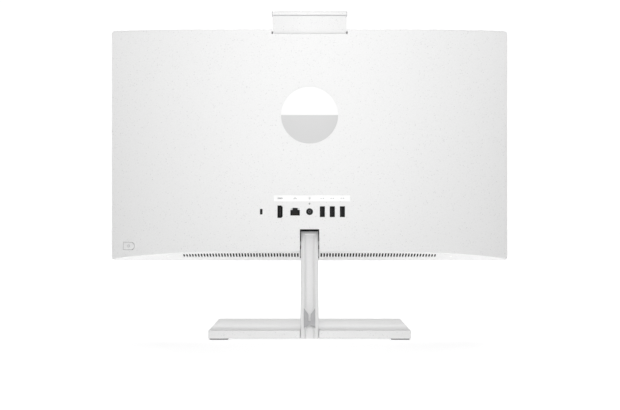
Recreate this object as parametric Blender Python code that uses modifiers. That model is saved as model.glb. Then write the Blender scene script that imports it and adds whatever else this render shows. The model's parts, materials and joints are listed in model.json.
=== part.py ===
"""All-in-one desktop computer on a leaning single-post stand, one object for each piece.

Metres, +Z up. The screen faces -Y, +X is to the right as seen from the front, and the origin
lies on the table under the middle of the base. The display hangs on the hinge at the head of
the post, so its place follows from the post's lean and length.
"""

from math import atan, cos, hypot, pi, radians, sin, sqrt, tan

import bmesh
import bpy
from mathutils import Matrix, Vector

# Gap that is left between two pieces that touch.
GAP = 0.0003

# Base.
BASE_W, BASE_D, BASE_H = 0.260, 0.180, 0.012
BASE_WALL, BASE_RADIUS = 0.002, 0.003
FOOT_W, FOOT_D, FOOT_H, FOOT_INSET = 0.024, 0.012, 0.0012, 0.0015
FLOOR_T = 0.0012
WEIGHT_W, WEIGHT_D, WEIGHT_T = 0.200, 0.100, 0.004
SOLE_W, SOLE_D, SOLE_T = 0.044, 0.040, 0.0025
SCREW_R, SCREW_HEAD_R, SCREW_HEAD_H, SCREW_SPREAD = 0.0015, 0.003, 0.0008, 0.028

# Post: widths along X, depths from its rear face, lengths along its lean.
LEAN = radians(32)
POST_W, POST_TOP, POST_SKIN = 0.0235, 0.163, 0.0015
CHANNEL_T, GROOVE_W, GROOVE_D = 0.0075, 0.009, 0.006
GROOVE_MOUTH, GROOVE_SLOPE_D, GROOVE_TOP, GROOVE_RAMP = 0.0148, 0.0026, 0.159, 0.016
SPINE_W, SPINE_T = 0.015, 0.004
POST_CLEAR = 0.0005
CLIP_W, CLIP_T, CLIP_LOW, CLIP_HIGH = 0.0144, 0.0016, 0.018, 0.046
CLIP_SLIT, CLIP_VEE, CLIP_CHEVRON = 0.0032, 0.009, 0.0045

# Hinge.
HINGE_ALONG, KNUCKLE_R, SHAFT_R, SHAFT_L = 0.150, 0.0055, 0.003, 0.052
BORE_CLEAR, NUT_R, NUT_T = 0.0003, 0.0055, 0.0035
EAR_T, EAR_R, BRACKET_W, BRACKET_H, BRACKET_T = 0.004, 0.007, 0.070, 0.056, 0.0012
HINGE_OVER_EDGE, HINGE_BEHIND_FRONT = 0.024, 0.0292
SWING_CLEAR, NOTCH_SIDE, POCKET_WALL = 0.0027, 0.0012, 0.0015

# Display body. The rear cover bulges behind its rim, most at the lower edge.
BODY_W, BODY_H, CORNER_R = 0.541, 0.314, 0.004
FRAME_D, RIM_D, WALL = 0.007, 0.012, 0.002
BULGE_LOW, BULGE_HIGH, EDGE_LIFT, BULGE_POWER = 0.031, 0.014, 0.0025, 4
BAND_SLOPE, BAND_LIFT = tan(radians(20.5)), 0.0008
SIDE_BEZEL, TOP_BEZEL, BOTTOM_BEZEL, LIP_T = 0.00625, 0.0070, 0.0095, 0.0014
PANEL_BORDER, GLASS_T, BACKLIGHT_T = 0.003, 0.0016, 0.0055
CHASSIS_SIDE, CHASSIS_END, CHASSIS_T, CHASSIS_D = 0.0105, 0.012, 0.0012, 0.0104

# Air slots in the sloping band under the rear face.
SLOTS_EACH_SIDE, SLOT_PITCH, SLOT_FIRST, SLOT_W = 40, 0.00395, 0.0159, 0.002
SLOT_START, SLOT_END, SLOT_BOW = 0.0109, 0.0068, 0.001

# Socket row, button, label and badge: heights above the body's lower edge.
ROW_H, SOCKET_CLEAR, SOCKET_RECESS, SHELL_T = 0.0666, 0.0003, 0.0002, 0.0005
VIDEO_X, VIDEO_W, VIDEO_H, VIDEO_CHAMFER = 0.0397, 0.0064, 0.0162, 0.0018
NETWORK_X, NETWORK_W, NETWORK_H, NETWORK_STEP_W, NETWORK_STEP_H = 0.0195, 0.0127, 0.0103, 0.007, 0.0027
NETWORK_WALL, NETWORK_DEPTH = 0.0014, 0.0125
POWER_R, PIN_R, PIN_L = 0.00435, 0.0008, 0.008
DATA_XS, DATA_W, DATA_H = (-0.0172, -0.0306, -0.0442), 0.0062, 0.0140
CAVITY_D, TONGUE_T, TONGUE_SIDE = 0.0095, 0.0018, 0.0009
LOCK_X, LOCK_W, LOCK_H, LOCK_PLATE = 0.065, 0.0034, 0.0075, 0.014
LIGHT_R, LIGHT_H = 0.0008, 0.0774
LABEL_X, LABEL_W, LABEL_H, LABEL_T, LABEL_Z = -0.0033, 0.1026, 0.0081, 0.0003, 0.0846
BADGE_R, BADGE_T, BADGE_Z, STUCK_GAP = 0.0386, 0.0008, 0.1972, 0.00015
BUTTON_W, BUTTON_H, BUTTON_SIDE, BUTTON_Z = 0.0152, 0.0098, 0.0245, 0.0201
BUTTON_PROUD, BUTTON_TRAVEL, BUTTON_CLEAR, BUTTON_LENGTH = 0.0003, 0.0008, 0.0003, 0.0090

# Pop-up camera: it slides down into a notch in the top edge.
CAMERA_W, CAP_W, CAP_H, CAMERA_RISE, CAMERA_OVERTRAVEL = 0.100, 0.102, 0.0053, 0.0247, 0.0005
CAMERA_FRONT, CAMERA_T, CAMERA_H, CAMERA_WALL = 0.0150, 0.0107, 0.060, 0.0012
CAP_CLEAR, CAP_FRONT = 0.0005, 0.0005
WINDOW_W, WINDOW_H, WINDOW_T, LENS_R, LENS_T = 0.094, 0.0185, 0.0008, 0.004, 0.0006
BAY_WALL, BAY_SIDE, BAY_LEDGE, BAY_DEPTH = 0.0008, 0.0055, 0.003, 0.009
SPRING_R, SPRING_WIRE, SPRING_TURNS = 0.0035, 0.0004, 7
LATCH_X, LATCH_W, LATCH_H, LATCH_D = 0.034, 0.010, 0.0055, 0.007

# Electronics. Positions are measured from the middle of the display's lower edge.
BOARD_X, BOARD_LOW, BOARD_W, BOARD_H, BOARD_T, BOARD_D = 0.005, 0.049, 0.200, 0.153, 0.0016, 0.023
MEMORY_W, MEMORY_H, MEMORY_T, MEMORY_X, MEMORY_LOWS = 0.0676, 0.030, 0.0035, -0.056, (0.097, 0.130)
SSD_W, SSD_H, SSD_T, SSD_X, SSD_LOW = 0.080, 0.022, 0.0035, -0.050, 0.168
RADIO_W, RADIO_H, RADIO_T, RADIO_X, RADIO_LOW = 0.030, 0.022, 0.0024, 0.083, 0.090
CELL_R, CELL_T, CELL_X, CELL_Z = 0.010, 0.0032, 0.085, 0.186
COLD_W, COLD_T, COLD_X, COLD_Z = 0.045, 0.003, 0.020, 0.157
PIPE_R = 0.0025
FAN_W, FAN_T, FAN_SIDE, FAN_Z, FAN_WALL = 0.076, 0.011, 0.0825, 0.155, 0.0012
ROTOR_R, HUB_R, ROTOR_T, BLADES, BLADE_T, ROTOR_CLEAR = 0.031, 0.012, 0.008, 11, 0.0014, 0.0015
FIN_STACK_W, FIN_STACK_H, FIN_PITCH, FIN_T, FIN_ROOT = 0.064, 0.015, 0.004, 0.0012, 0.002
DRIVE_W, DRIVE_H, DRIVE_T, DRIVE_SIDE, DRIVE_Z, CADDY_T = 0.100, 0.070, 0.007, 0.0655, 0.135, 0.001
SPEAKER_W, SPEAKER_H, SPEAKER_D, SPEAKER_SIDE, SPEAKER_LOW = 0.080, 0.022, 0.010, 0.0810, 0.012
CONE_R = 0.008
RIBBON_W, RIBBON_T, RIBBON_X, RIBBON_LAP = 0.030, 0.0004, -0.040, 0.010

# Places worked out from the sizes above.
REAR_Y = BASE_D / 2
POST_T = CHANNEL_T + GAP + SPINE_T + GAP + POST_SKIN
HINGE_DEEP = CHANNEL_T + GAP + SPINE_T / 2
HINGE_Y = REAR_Y - HINGE_ALONG * sin(LEAN) - HINGE_DEEP * cos(LEAN)
HINGE_Z = HINGE_ALONG * cos(LEAN) - HINGE_DEEP * sin(LEAN)
HINGE = Vector((0, HINGE_Y, HINGE_Z))
LOW_Z = HINGE_Z - HINGE_OVER_EDGE
TOP_Z = LOW_Z + BODY_H
FRONT_Y = HINGE_Y - HINGE_BEHIND_FRONT
RIM_Y = FRONT_Y + RIM_D
SPLIT_Y = FRONT_Y + FRAME_D
CHASSIS_Y = FRONT_Y + CHASSIS_D
BEHIND_CHASSIS = CHASSIS_Y + CHASSIS_T + GAP
BOARD_Y = FRONT_Y + BOARD_D
ON_BOARD = BOARD_Y + BOARD_T + GAP
FLOOR_Z = FOOT_H + GAP
POST_FOOT_Z = FLOOR_Z + FLOOR_T + GAP
NOTCH_W = POST_W + 2 * NOTCH_SIDE
NOTCH_TOP = HINGE_Z + hypot(HINGE_DEEP, POST_TOP - HINGE_ALONG) + SWING_CLEAR
POCKET_Y = HINGE_Y - hypot(POST_T - HINGE_DEEP, POST_TOP - HINGE_ALONG) - GAP
REAR_TILT = atan((BULGE_LOW - BULGE_HIGH) / BODY_H)
VIEW_W, VIEW_H = BODY_W - 2 * SIDE_BEZEL, BODY_H - TOP_BEZEL - BOTTOM_BEZEL
CHASSIS_W, CHASSIS_H = BODY_W - 2 * CHASSIS_SIDE, BODY_H - 2 * CHASSIS_END
# The fan and the drive lie as far in from the body's sides as they are told, but clear of the board's ends.
FAN_X = max(BODY_W / 2 - FAN_SIDE, BOARD_X + BOARD_W / 2 + CADDY_T + GAP + FAN_W) - FAN_W / 2
DRIVE_X = min(DRIVE_SIDE - BODY_W / 2, BOARD_X - BOARD_W / 2 - CADDY_T - GAP - DRIVE_W) + DRIVE_W / 2
CAMERA_TOP = TOP_Z + CAMERA_RISE
CAMERA_Y = FRONT_Y + CAMERA_FRONT
FAR = 0.06

# Finish: colour, roughness, metallic.
FINISHES = {
    "speckled_white": ((0.86, 0.86, 0.85), 0.45, 0.0),
    "satin_white": ((0.80, 0.80, 0.80), 0.32, 0.0),
    "clip_grey": ((0.42, 0.42, 0.43), 0.5, 0.0),
    "black_plastic": ((0.02, 0.02, 0.022), 0.4, 0.0),
    "black_gloss": ((0.01, 0.01, 0.012), 0.08, 0.0),
    "screen": ((0.005, 0.006, 0.008), 0.12, 0.0),
    "lens": ((0.01, 0.01, 0.03), 0.03, 0.0),
    "rubber": ((0.10, 0.10, 0.10), 0.8, 0.0),
    "steel": ((0.55, 0.55, 0.56), 0.35, 1.0),
    "backlight_case": ((0.70, 0.70, 0.70), 0.4, 0.0),
    "sheet_steel": ((0.62, 0.62, 0.62), 0.45, 1.0),
    "aluminium": ((0.75, 0.75, 0.76), 0.35, 1.0),
    "copper": ((0.72, 0.38, 0.22), 0.3, 1.0),
    "mirror": ((0.85, 0.85, 0.86), 0.05, 1.0),
    "circuit_board": ((0.02, 0.10, 0.06), 0.5, 0.0),
    "label": ((0.90, 0.90, 0.90), 0.4, 0.0),
    "light": ((0.85, 0.87, 0.85), 0.2, 0.0),
    "ribbon": ((0.75, 0.70, 0.55), 0.4, 0.0),
}


def clear_scene():
    """Removes what the open file holds."""
    for obj in list(bpy.data.objects):
        bpy.data.objects.remove(obj, do_unlink=True)


def new_collection(name):
    collection = bpy.data.collections.new(name)
    bpy.context.scene.collection.children.link(collection)
    return collection


def material(name):
    """The named finish as a Principled BSDF, made once."""
    if name in bpy.data.materials:
        return bpy.data.materials[name]
    colour, roughness, metallic = FINISHES[name]
    made = bpy.data.materials.new(name)
    made.use_nodes = True
    shader = made.node_tree.nodes["Principled BSDF"]
    shader.inputs["Base Color"].default_value = (*colour, 1)
    shader.inputs["Roughness"].default_value = roughness
    shader.inputs["Metallic"].default_value = metallic
    return made


class Body:
    """A rigid group: an empty that its pieces hang on. Their places are given in world coordinates at rest,
    or in the group's own frame if it leans."""

    def __init__(self, name, place, parent=None, lean=0.0):
        self.empty = bpy.data.objects.new(name, None)
        self.empty.rotation_euler.x = lean
        self.measured_from = Vector((0, 0, 0)) if lean else Vector(place)
        PARTS.objects.link(self.empty)
        self.empty.location = Vector(place)
        if parent:
            self.empty.parent = parent.empty
            self.empty.location -= parent.measured_from

    def take(self, obj, name, finish, place):
        """Hangs the object on this body. One with no finish is a cutter or a helper to be joined."""
        obj.name = name
        obj.data.name = name
        for collection in list(obj.users_collection):
            collection.objects.unlink(obj)
        (PARTS if finish else CUTTERS).objects.link(obj)
        if finish:
            obj.data.materials.append(material(finish))
        else:
            obj.hide_render = True
            obj.display_type = "WIRE"
        obj.parent = self.empty
        obj.location = Vector(place) - self.measured_from
        return obj

    def take_surface(self, made, name, finish):
        """Turns a bmesh that holds world coordinates into an object on this body."""
        mesh = bpy.data.meshes.new(name)
        made.to_mesh(mesh)
        made.free()
        mesh.transform(Matrix.Translation(-self.measured_from))
        return self.take(bpy.data.objects.new(name, mesh), name, finish, self.measured_from)


def middle(span):
    return (span[0] + span[1]) / 2


def block(name, xs, ys, zs, finish, body):
    """A box between two values on each axis."""
    bpy.ops.mesh.primitive_cube_add(size=1)
    obj = bpy.context.active_object
    obj.data.transform(Matrix.Diagonal((xs[1] - xs[0], ys[1] - ys[0], zs[1] - zs[0], 1)))
    return body.take(obj, name, finish, (middle(xs), middle(ys), middle(zs)))


def rod(name, radius, length, centre, axis, finish, body, sides=24):
    """A round bar along one axis."""
    bpy.ops.mesh.primitive_cylinder_add(radius=radius, depth=length, vertices=sides)
    obj = bpy.context.active_object
    if axis != "Z":
        obj.data.transform(Matrix.Rotation(pi / 2, 4, "X" if axis == "Y" else "Y"))
    obj.data.shade_smooth()
    obj.data.set_sharp_from_angle(angle=radians(35))
    return body.take(obj, name, finish, centre)


def as_mesh(curve, facing="Z"):
    """The curve's solid as a mesh object with its caps welded on."""
    guide = bpy.data.objects.new("guide", curve)
    bpy.context.scene.collection.objects.link(guide)
    graph = bpy.context.evaluated_depsgraph_get()
    mesh = bpy.data.meshes.new_from_object(guide.evaluated_get(graph))
    bpy.data.objects.remove(guide)
    welded = bmesh.new()
    welded.from_mesh(mesh)
    bmesh.ops.remove_doubles(welded, verts=welded.verts, dist=1e-6)
    bmesh.ops.recalc_face_normals(welded, faces=welded.faces)
    welded.to_mesh(mesh)
    welded.free()
    if facing == "Y":
        mesh.transform(Matrix.Rotation(pi / 2, 4, "X"))
    elif facing == "X":
        mesh.transform(Matrix.Rotation(pi / 2, 4, "Z") @ Matrix.Rotation(pi / 2, 4, "X"))
    obj = bpy.data.objects.new("plate", mesh)
    bpy.context.scene.collection.objects.link(obj)
    return obj


def plate(name, outline, span, place, finish, body, facing="Y"):
    """A flat outline given thickness along the axis it faces. It faces Y as (x, z), Z as (x, y), X as (y, z)."""
    curve = bpy.data.curves.new(name, "CURVE")
    curve.dimensions = "2D"
    curve.fill_mode = "BOTH"
    curve.extrude = (span[1] - span[0]) / 2
    spline = curve.splines.new("POLY")
    spline.points.add(len(outline) - 1)
    spline.use_cyclic_u = True
    for point, (across, up) in zip(spline.points, outline):
        point.co = (across, up, 0, 1)
    obj = as_mesh(curve, facing)
    centre = Vector(place)
    centre["XYZ".index(facing)] += middle(span)
    return body.take(obj, name, finish, centre)


def tube(name, points, radius, finish, body):
    """A round wire or pipe through the points."""
    curve = bpy.data.curves.new(name, "CURVE")
    curve.dimensions = "3D"
    curve.bevel_depth = radius
    curve.bevel_resolution = 2
    curve.use_fill_caps = True
    spline = curve.splines.new("POLY")
    spline.points.add(len(points) - 1)
    for point, place in zip(spline.points, points):
        point.co = (*(Vector(place) - body.measured_from), 1)
    obj = as_mesh(curve)
    obj.data.shade_smooth()
    return body.take(obj, name, finish, body.measured_from)


def cut(obj, *cutters):
    for cutter in cutters:
        modifier = obj.modifiers.new(cutter.name, "BOOLEAN")
        modifier.operation = "DIFFERENCE"
        modifier.object = cutter


def join(obj, *extras):
    for extra in extras:
        modifier = obj.modifiers.new(extra.name, "BOOLEAN")
        modifier.operation = "UNION"
        modifier.object = extra


def soften(obj, width, segments=2):
    """Rounds the object's sharp edges."""
    modifier = obj.modifiers.new("Rounded edges", "BEVEL")
    modifier.width = width
    modifier.segments = segments
    modifier.limit_method = "ANGLE"
    modifier.angle_limit = radians(50)


def rounded(width, height, radii, steps=4):
    """A rectangle round the origin with a radius for each corner, anticlockwise from (+, +)."""
    outline = []
    for corner, (side, rise) in enumerate(((1, 1), (-1, 1), (-1, -1), (1, -1))):
        radius = radii[corner]
        for step in range(steps + 1):
            angle = (corner + step / steps) * pi / 2
            across = side * (width / 2 - radius) + radius * cos(angle)
            up = rise * (height / 2 - radius) + radius * sin(angle)
            outline.append((across, up))
    return outline


def bulge(x, z):
    """How far the cover's rear face lies behind the rim, at a place on the display."""
    share = min(1.0, abs(2 * x / BODY_W))
    height = (z - LOW_Z) / BODY_H
    depth = BULGE_LOW + (BULGE_HIGH - BULGE_LOW) * height
    return EDGE_LIFT + depth * (1 - share**BULGE_POWER)


def face_y(x, z):
    """The rear face of the cover."""
    return RIM_Y + bulge(x, z)


def crease_z(x):
    """Height of the crease between the rear face and the sloping band under it."""
    return LOW_Z + BAND_LIFT + BAND_SLOPE * bulge(x, LOW_Z)


def half_width(z, inset):
    """Half of the body's width at a height, less where the corners are round."""
    radius = CORNER_R - inset
    from_edge = min(z - LOW_Z, TOP_Z - z) - inset
    inward = min(radius, max(0.0, radius - from_edge))
    return BODY_W / 2 - CORNER_R + sqrt(radius**2 - inward**2)


def post_face_y(z, depth):
    """Where a plane that lies this deep in the post stands at a height."""
    return REAR_Y - z * tan(LEAN) - depth / cos(LEAN)


def make_base():
    """Shell, floor, ballast, feet and the two screws that hold the post."""
    half_w, half_d = BASE_W / 2, BASE_D / 2
    uncut = FLOOR_Z - 2 * BASE_RADIUS
    shell = block("base_cover", (-half_w, half_w), (-half_d, half_d), (uncut, BASE_H), "speckled_white", STAND)
    soften(shell, BASE_RADIUS)
    under = block("base_under", (-BASE_W, BASE_W), (-BASE_D, BASE_D), (-FAR, FLOOR_Z), None, STAND)
    in_w, in_d = half_w - BASE_WALL, half_d - BASE_WALL
    hollow = block("base_hollow", (-in_w, in_w), (-in_d, in_d), (-FAR, BASE_H - BASE_WALL), None, STAND)
    opening = POST_W / 2 + POST_CLEAR
    post_front = post_face_y(BASE_H, POST_T) - POST_CLEAR
    post_slot = block("base_post_slot", (-opening, opening), (post_front, REAR_Y + FAR), (-FAR, FAR), None, STAND)
    cut(shell, under, hollow, post_slot)

    floor_w, floor_d = in_w - GAP, in_d - GAP
    floor = block(
        "base_floor", (-floor_w, floor_w), (-floor_d, floor_d), (FLOOR_Z, FLOOR_Z + FLOOR_T), "sheet_steel", STAND
    )
    channel_front = post_face_y(POST_FOOT_Z, CHANNEL_T) - GAP
    floor_slot = block(
        "floor_post_slot", (-opening, opening), (channel_front, REAR_Y + FAR), (-FAR, FAR), None, STAND
    )
    front_of_sole = post_face_y(POST_FOOT_Z, POST_T) - SOLE_D
    weight_back = front_of_sole - 2 * GAP
    block(
        "base_weight",
        (-WEIGHT_W / 2, WEIGHT_W / 2),
        (weight_back - WEIGHT_D, weight_back),
        (POST_FOOT_Z, POST_FOOT_Z + WEIGHT_T),
        "steel",
        STAND,
    )
    for side, x in (("left", -1), ("right", 1)):
        for end, y in (("front", -1), ("rear", 1)):
            out_x = x * (half_w - FOOT_INSET)
            out_y = y * (half_d - FOOT_INSET)
            xs = sorted((out_x, out_x - x * FOOT_W))
            ys = sorted((out_y, out_y - y * FOOT_D))
            block(f"foot_{end}_{side}", xs, ys, (0, FOOT_H), "rubber", STAND)
    screw_y = front_of_sole + SOLE_D / 3
    for side, x in (("left", -SCREW_SPREAD / 2), ("right", SCREW_SPREAD / 2)):
        head_top = FLOOR_Z - GAP
        screw_top = POST_FOOT_Z + SOLE_T
        shank = rod(
            f"base_screw_{side}", SCREW_R, screw_top - head_top, (x, screw_y, middle((head_top, screw_top))),
            "Z", "steel", STAND, 12,
        )
        head = rod(
            f"screw_head_{side}", SCREW_HEAD_R, SCREW_HEAD_H, (x, screw_y, head_top - SCREW_HEAD_H / 3),
            "Z", None, STAND, 12,
        )
        join(shank, head)
        hole = rod(f"screw_hole_{side}", SCREW_R + GAP, FAR, (x, screw_y, 0), "Z", None, STAND, 12)
        SCREW_HOLES.append(hole)
    cut(floor, floor_slot, *SCREW_HOLES)
    return front_of_sole


def make_post(front_of_sole):
    """Grooved rear channel, steel spine and front skin, which all lean the same way, and the cable clip."""
    long = (-0.03, POST_TOP)
    half = POST_W / 2
    under = block("under_post", (-FAR, FAR), (-2 * FAR, 3 * FAR), (-2 * FAR, FOOT_H), None, STAND)
    over_knuckle = rod(
        "knuckle_space", KNUCKLE_R + GAP, SPINE_W + 2 * POST_CLEAR, (0, -HINGE_DEEP, HINGE_ALONG), "X", None, POST
    )
    shaft_hole = rod("post_shaft_hole", SHAFT_R + POST_CLEAR, FAR, (0, -HINGE_DEEP, HINGE_ALONG), "X", None, POST)

    channel = block("post_channel", (-half, half), (-CHANNEL_T, 0), long, "satin_white", POST)
    soften(channel, POST_CLEAR)
    ramp = GROOVE_TOP - GROOVE_RAMP
    groove_foot = 2 * long[0]
    groove_side = [
        (FAR, groove_foot), (-GROOVE_D, groove_foot), (-GROOVE_D, ramp), (0, GROOVE_TOP), (FAR, GROOVE_TOP)
    ]
    groove = plate("groove", groove_side, (-GROOVE_W / 2, GROOVE_W / 2), (0, 0, 0), None, POST, "X")
    flare = (GROOVE_MOUTH - GROOVE_W) / 2 / GROOVE_SLOPE_D
    mouth_out = GROOVE_MOUTH / 2 + flare * GROOVE_SLOPE_D
    mouth = [
        (-GROOVE_W / 2, -GROOVE_SLOPE_D),
        (GROOVE_W / 2, -GROOVE_SLOPE_D),
        (mouth_out, GROOVE_SLOPE_D),
        (-mouth_out, GROOVE_SLOPE_D),
    ]
    mouth_cut = plate("groove_mouth", mouth, (2 * long[0], GROOVE_TOP - GAP), (0, 0, 0), None, POST, "Z")
    seat_w = CLIP_W / 2 + GAP
    seat = block(
        "clip_seat", (-seat_w, seat_w), (-CLIP_T - GAP, FAR), (CLIP_LOW - GAP, CLIP_HIGH + GAP), None, POST
    )
    cut(channel, groove, mouth_cut, seat, over_knuckle, shaft_hole, under)

    back = -CHANNEL_T - GAP
    spine = block(
        "post_spine", (-SPINE_W / 2, SPINE_W / 2), (back - SPINE_T, back), (long[0], HINGE_ALONG), "steel", POST
    )
    knuckle = rod("knuckle", KNUCKLE_R, SPINE_W, (0, -HINGE_DEEP, HINGE_ALONG), "X", None, POST)
    under_spine = block("under_spine", (-FAR, FAR), (-2 * FAR, 3 * FAR), (-2 * FAR, POST_FOOT_Z), None, STAND)
    sole_back = post_face_y(POST_FOOT_Z + SOLE_T, CHANNEL_T + GAP)
    sole = block(
        "spine_sole",
        (-SOLE_W / 2, SOLE_W / 2),
        (front_of_sole, sole_back - GAP),
        (POST_FOOT_Z, POST_FOOT_Z + SOLE_T),
        None,
        STAND,
    )
    bore = rod("knuckle_bore", SHAFT_R + GAP, FAR, (0, -HINGE_DEEP, HINGE_ALONG), "X", None, POST)
    cut(spine, under_spine)
    join(spine, sole, knuckle)
    cut(spine, bore, *SCREW_HOLES)

    front = block("post_front_cover", (-half, half), (-POST_T, back), long, "satin_white", POST)
    soften(front, POST_CLEAR)
    spine_space = SPINE_W / 2 + GAP
    inside = block(
        "front_cover_hollow",
        (-spine_space, spine_space),
        (-POST_T + POST_SKIN, FAR),
        (-FAR, 2 * POST_TOP),
        None,
        POST,
    )
    over_sole = POST_FOOT_Z + SOLE_T + GAP
    sole_space = block("sole_space", (-FAR, FAR), (REAR_Y - FAR, REAR_Y + FAR), (-FAR, over_sole), None, STAND)
    front_bore = rod("front_shaft_hole", SHAFT_R + POST_CLEAR, FAR, (0, -HINGE_DEEP, HINGE_ALONG), "X", None, POST)
    front_knuckle = rod(
        "front_knuckle_space",
        KNUCKLE_R + GAP,
        SPINE_W + 2 * POST_CLEAR,
        (0, -HINGE_DEEP, HINGE_ALONG),
        "X",
        None,
        POST,
    )
    cut(front, inside, front_knuckle, front_bore, sole_space)

    low, high, slit = CLIP_LOW, CLIP_HIGH, CLIP_SLIT / 2
    half_clip = CLIP_W / 2
    outline = [
        (-half_clip, low),
        (0, low + CLIP_CHEVRON),
        (half_clip, low),
        (half_clip, high),
        (slit, high - CLIP_VEE),
        (slit, low + 2 * CLIP_CHEVRON),
        (-slit, low + 2 * CLIP_CHEVRON),
        (-slit, high - CLIP_VEE),
        (-half_clip, high),
    ]
    plate("cable_clip", outline, (-CLIP_T, 0), (0, 0, 0), "clip_grey", POST, "Y")


def make_hinge():
    """The shaft with its nuts on the stand's side, and the two-eared bracket on the display's side."""
    rod("hinge_shaft", SHAFT_R, SHAFT_L, HINGE, "X", "steel", STAND)
    ear_in = NOTCH_W / 2 + POCKET_WALL + GAP
    for side, sign in (("left", -1), ("right", 1)):
        x = sign * (ear_in + EAR_T + GAP + NUT_T / 2)
        nut = rod(f"hinge_nut_{side}", NUT_R, NUT_T, (x, HINGE_Y, HINGE_Z), "X", "steel", STAND, 6)
        cut(nut, rod(f"nut_bore_{side}", SHAFT_R + GAP, FAR, (x, HINGE_Y, HINGE_Z), "X", None, STAND))
    plate_y = (CHASSIS_Y + CHASSIS_T + GAP, CHASSIS_Y + CHASSIS_T + GAP + BRACKET_T)
    plate_z = (HINGE_Z - BRACKET_H / 3, HINGE_Z + 2 * BRACKET_H / 3)
    bracket = block(
        "hinge_bracket", (-BRACKET_W / 2, BRACKET_W / 2), plate_y, plate_z, "sheet_steel", DISPLAY
    )
    for side, sign in (("left", -1), ("right", 1)):
        xs = sorted((sign * ear_in, sign * (ear_in + EAR_T)))
        rise = (HINGE_Z - EAR_R, HINGE_Z + EAR_R)
        arm = block(f"ear_{side}", xs, (plate_y[1] - BRACKET_T / 2, HINGE_Y), rise, None, DISPLAY)
        eye = rod(f"eye_{side}", EAR_R, EAR_T, (middle(xs), HINGE_Y, HINGE_Z), "X", None, DISPLAY)
        join(bracket, arm, eye)
    cut(bracket, rod("ear_bore", SHAFT_R + BORE_CLEAR, 2 * FAR, HINGE, "X", None, DISPLAY))

    out_w, in_w = NOTCH_W / 2 + POCKET_WALL, NOTCH_W / 2
    floor = LOW_Z + WALL + BAND_LIFT + BAND_SLOPE * bulge(0, LOW_Z) + GAP
    rear = face_y(0, NOTCH_TOP) - WALL - 3 * GAP
    pocket = block(
        "stand_pocket",
        (-out_w, out_w),
        (POCKET_Y - POCKET_WALL, rear),
        (floor, NOTCH_TOP + POCKET_WALL),
        "speckled_white",
        DISPLAY,
    )
    hollow = block("pocket_hollow", (-in_w, in_w), (POCKET_Y, FAR), (-FAR, NOTCH_TOP), None, DISPLAY)
    turning = SHAFT_R + POST_CLEAR
    cut(pocket, hollow, rod("pocket_shaft_hole", turning, 2 * FAR, HINGE, "X", None, DISPLAY))


def cover_solid(name, inset, front, finish):
    """The rear cover's outer shape, filled, with every face moved inward by the inset."""
    columns, rows = 26, 10
    made = bmesh.new()
    bmesh.ops.create_grid(made, x_segments=columns, y_segments=rows, size=1)
    radius = CORNER_R - inset
    top = TOP_Z - inset
    band_lift = inset * (1 / cos(atan(BAND_SLOPE)) - BAND_SLOPE)
    for vertex in made.verts:
        share = vertex.co.x
        row = round((vertex.co.y + 1) / 2 * rows)
        x = share * (BODY_W / 2 - inset)
        low, high = crease_z(x) + band_lift, top - radius
        if row == 0:
            z = LOW_Z + inset
        elif row < rows - 1:
            z = low + (high - low) * (row - 1) / (rows - 3)
        else:
            z = top - (rows - row) * radius * (1 - sin(pi / 4))
        y = face_y(x, z) - inset if row else RIM_Y
        vertex.co = (share * half_width(z, inset), y, z)
    border = [edge for edge in made.edges if edge.is_boundary]
    walls = bmesh.ops.extrude_edge_only(made, edges=border)["geom"]
    for vertex in walls:
        if isinstance(vertex, bmesh.types.BMVert):
            vertex.co.y = front
    rim = [edge for edge in made.edges if edge.is_boundary]
    bmesh.ops.contextual_create(made, geom=rim)
    bmesh.ops.recalc_face_normals(made, faces=made.faces)
    return DISPLAY.take_surface(made, name, finish)


def make_rear_cover():
    """The bulging shell with its notch, slots and socket holes. Its cutters reach through the wall only."""
    cover = cover_solid("rear_cover", 0, SPLIT_Y + GAP, "speckled_white")
    cut(cover, cover_solid("cover_room", WALL, FRONT_Y - FAR, None))

    half = NOTCH_W / 2
    notch = block("stand_notch", (-half, half), (POCKET_Y, FAR), (-FAR, NOTCH_TOP), None, DISPLAY)
    cut(cover, notch, air_slots())
    camera_slot = block(
        "camera_slot",
        (-CAP_W / 2 - CAP_CLEAR, CAP_W / 2 + CAP_CLEAR),
        (CAMERA_Y - CAP_FRONT - CAP_CLEAR, FAR),
        (TOP_Z - CAP_H - CAMERA_OVERTRAVEL - GAP, TOP_Z + FAR),
        None,
        DISPLAY,
    )
    cut(cover, camera_slot)
    return cover


def air_slots():
    """One cutter with a box for every air slot, in two slightly bowed rows along the band."""
    made = bmesh.new()
    last = SLOT_FIRST + (SLOTS_EACH_SIDE - 1) * SLOT_PITCH
    for side in (-1, 1):
        for number in range(SLOTS_EACH_SIDE):
            x = side * (SLOT_FIRST + number * SLOT_PITCH)
            bow = SLOT_BOW * (x / last) ** 2
            start = RIM_Y + SLOT_START + bow
            end = face_y(x, crease_z(x)) - SLOT_END + bow
            size = (SLOT_W, end - start, FAR)
            centre = (x, middle((start, end)), LOW_Z)
            scale = Matrix.Diagonal((*size, 1))
            bmesh.ops.create_cube(made, size=1, matrix=Matrix.Translation(centre) @ scale)
    return DISPLAY.take_surface(made, "air_slots", None)


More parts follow.
